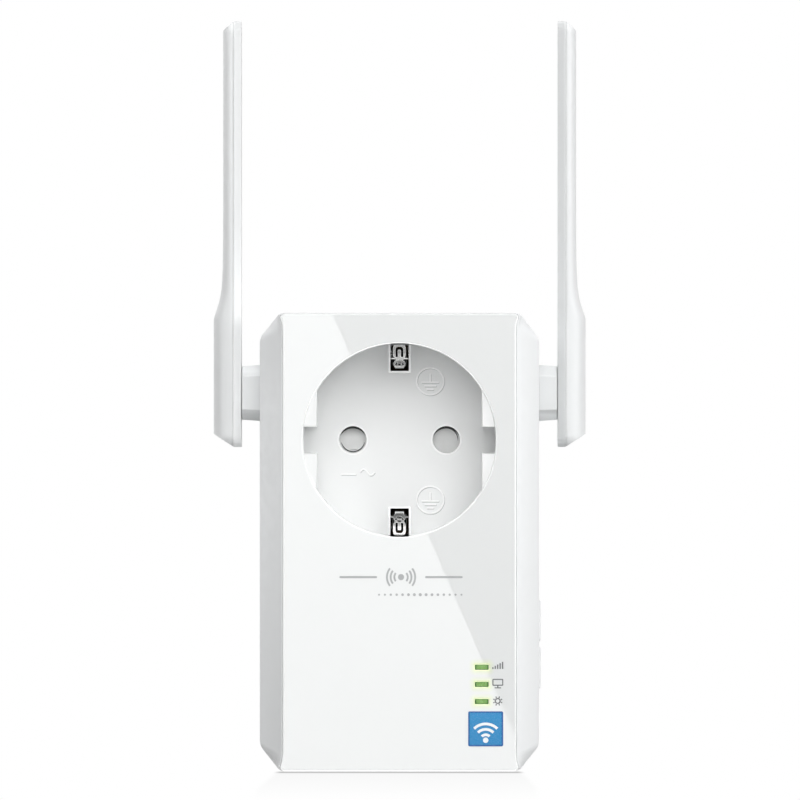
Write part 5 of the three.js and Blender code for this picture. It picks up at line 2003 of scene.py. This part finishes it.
def build_softbox():
    """A slanted card whose edge shows as a diagonal in the glossy panel."""
    # two points (x, z) of that diagonal on the panel, which runs on past both of them
    high, low = (-13.57717, 25.45374), (23.27131, -59.51596)
    run_x, run_z = low[0] - high[0], low[1] - high[1]
    up = (high[0] - run_x * 0.9, high[1] - run_z * 0.9)
    down = (low[0] + run_x * 1.8, low[1] + run_z * 1.8)
    left = -70
    corners = [up, down, (left, down[1]), (left, up[1])]
    glow_card("softbox_card", [mirrored(*c) for c in corners], "softbox_glow", strength=3.6)


def side_card(side):
    """Corners of an upright card beside and in front of the body."""
    far, near = (side * 760, 60), (side * 200, -1240)
    return [(*far, -60), (*near, -60), (*near, 330), (*far, 330)]


def build_cards():
    build_softbox()
    overhead = [(-300, -500, 700), (300, -500, 700), (300, 500, 640), (-300, 500, 640)]
    for name, verts, strength in (
        ("left_card", side_card(-1), 1.6),
        ("right_card", side_card(1), 1.7),
        ("top_card", overhead, 1.6),
    ):
        card = glow_card(name, verts, name + "_glow", strength)
        card.visible_transmission = False


# ------------------------------------------------------------------ lights and world

# name, place, disk size, diffuse level at the object, whether it shows in reflections
LIGHTS = (
    ("key_front", (150, -1010, 520), 1100, 0.72, True),
    ("fill_top", (0, -200, 900), 500, 0.20, False),
    ("fill_right", (950, -330, 200), 600, 0.47, False),
    ("fill_left", (-280, -130, 300), 160, 0.27, False),
    ("fill_back", (-500, 900, 600), 600, 0.45, False),
)


def soft_light(name, place, size, level, in_reflections):
    """A disk light that gives a facing surface at the object the diffuse level named."""
    data = bpy.data.lights.new(name, "AREA")
    data.shape = "DISK"
    data.size = size * MM
    beam = Vector((0, -40, 0)) - Vector(place)
    data.energy = level * math.pi ** 2 * (beam.length * MM) ** 2
    ob = link(name, data)
    ob.location = Vector(place) * MM
    ob.rotation_euler = beam.to_track_quat("-Z", "Y").to_euler()
    ob.visible_glossy = in_reflections


def build_world():
    """White to the camera; a dim room to other rays, with a bright backdrop in reflections."""
    world = bpy.data.worlds.new("studio")
    bpy.context.scene.world = world
    net = Network(world, "ShaderNodeOutputWorld")
    path = net.node("ShaderNodeLightPath")
    _, depth, height = net.axes(net.node("ShaderNodeTexCoord").outputs["Generated"])
    room = net.ramp(height, over=(-0.12, 0.10), to=(0.45, 0.20), smooth=True)
    backdrop = net.ramp(depth, over=(0.05, 0.55), to=(0.0, 0.58), smooth=True)
    backdrop = net.mul(backdrop, path.outputs["Is Glossy Ray"])

    def background(strength):
        inputs = {"Color": (1, 1, 1), "Strength": strength}
        return net.node("ShaderNodeBackground", inputs).outputs[0]

    lit = background(net.add(room, backdrop))
    net.finish(net.mix_shaders(path.outputs["Is Camera Ray"], lit, background(1.0)))


build_camera()
build_floor()
build_cards()
for light in LIGHTS:
    soft_light(*light)
build_world()

view = bpy.context.scene.view_settings
view.view_transform = "Standard"
view.look = "None"
view.exposure = 0.0
view.gamma = 1.0
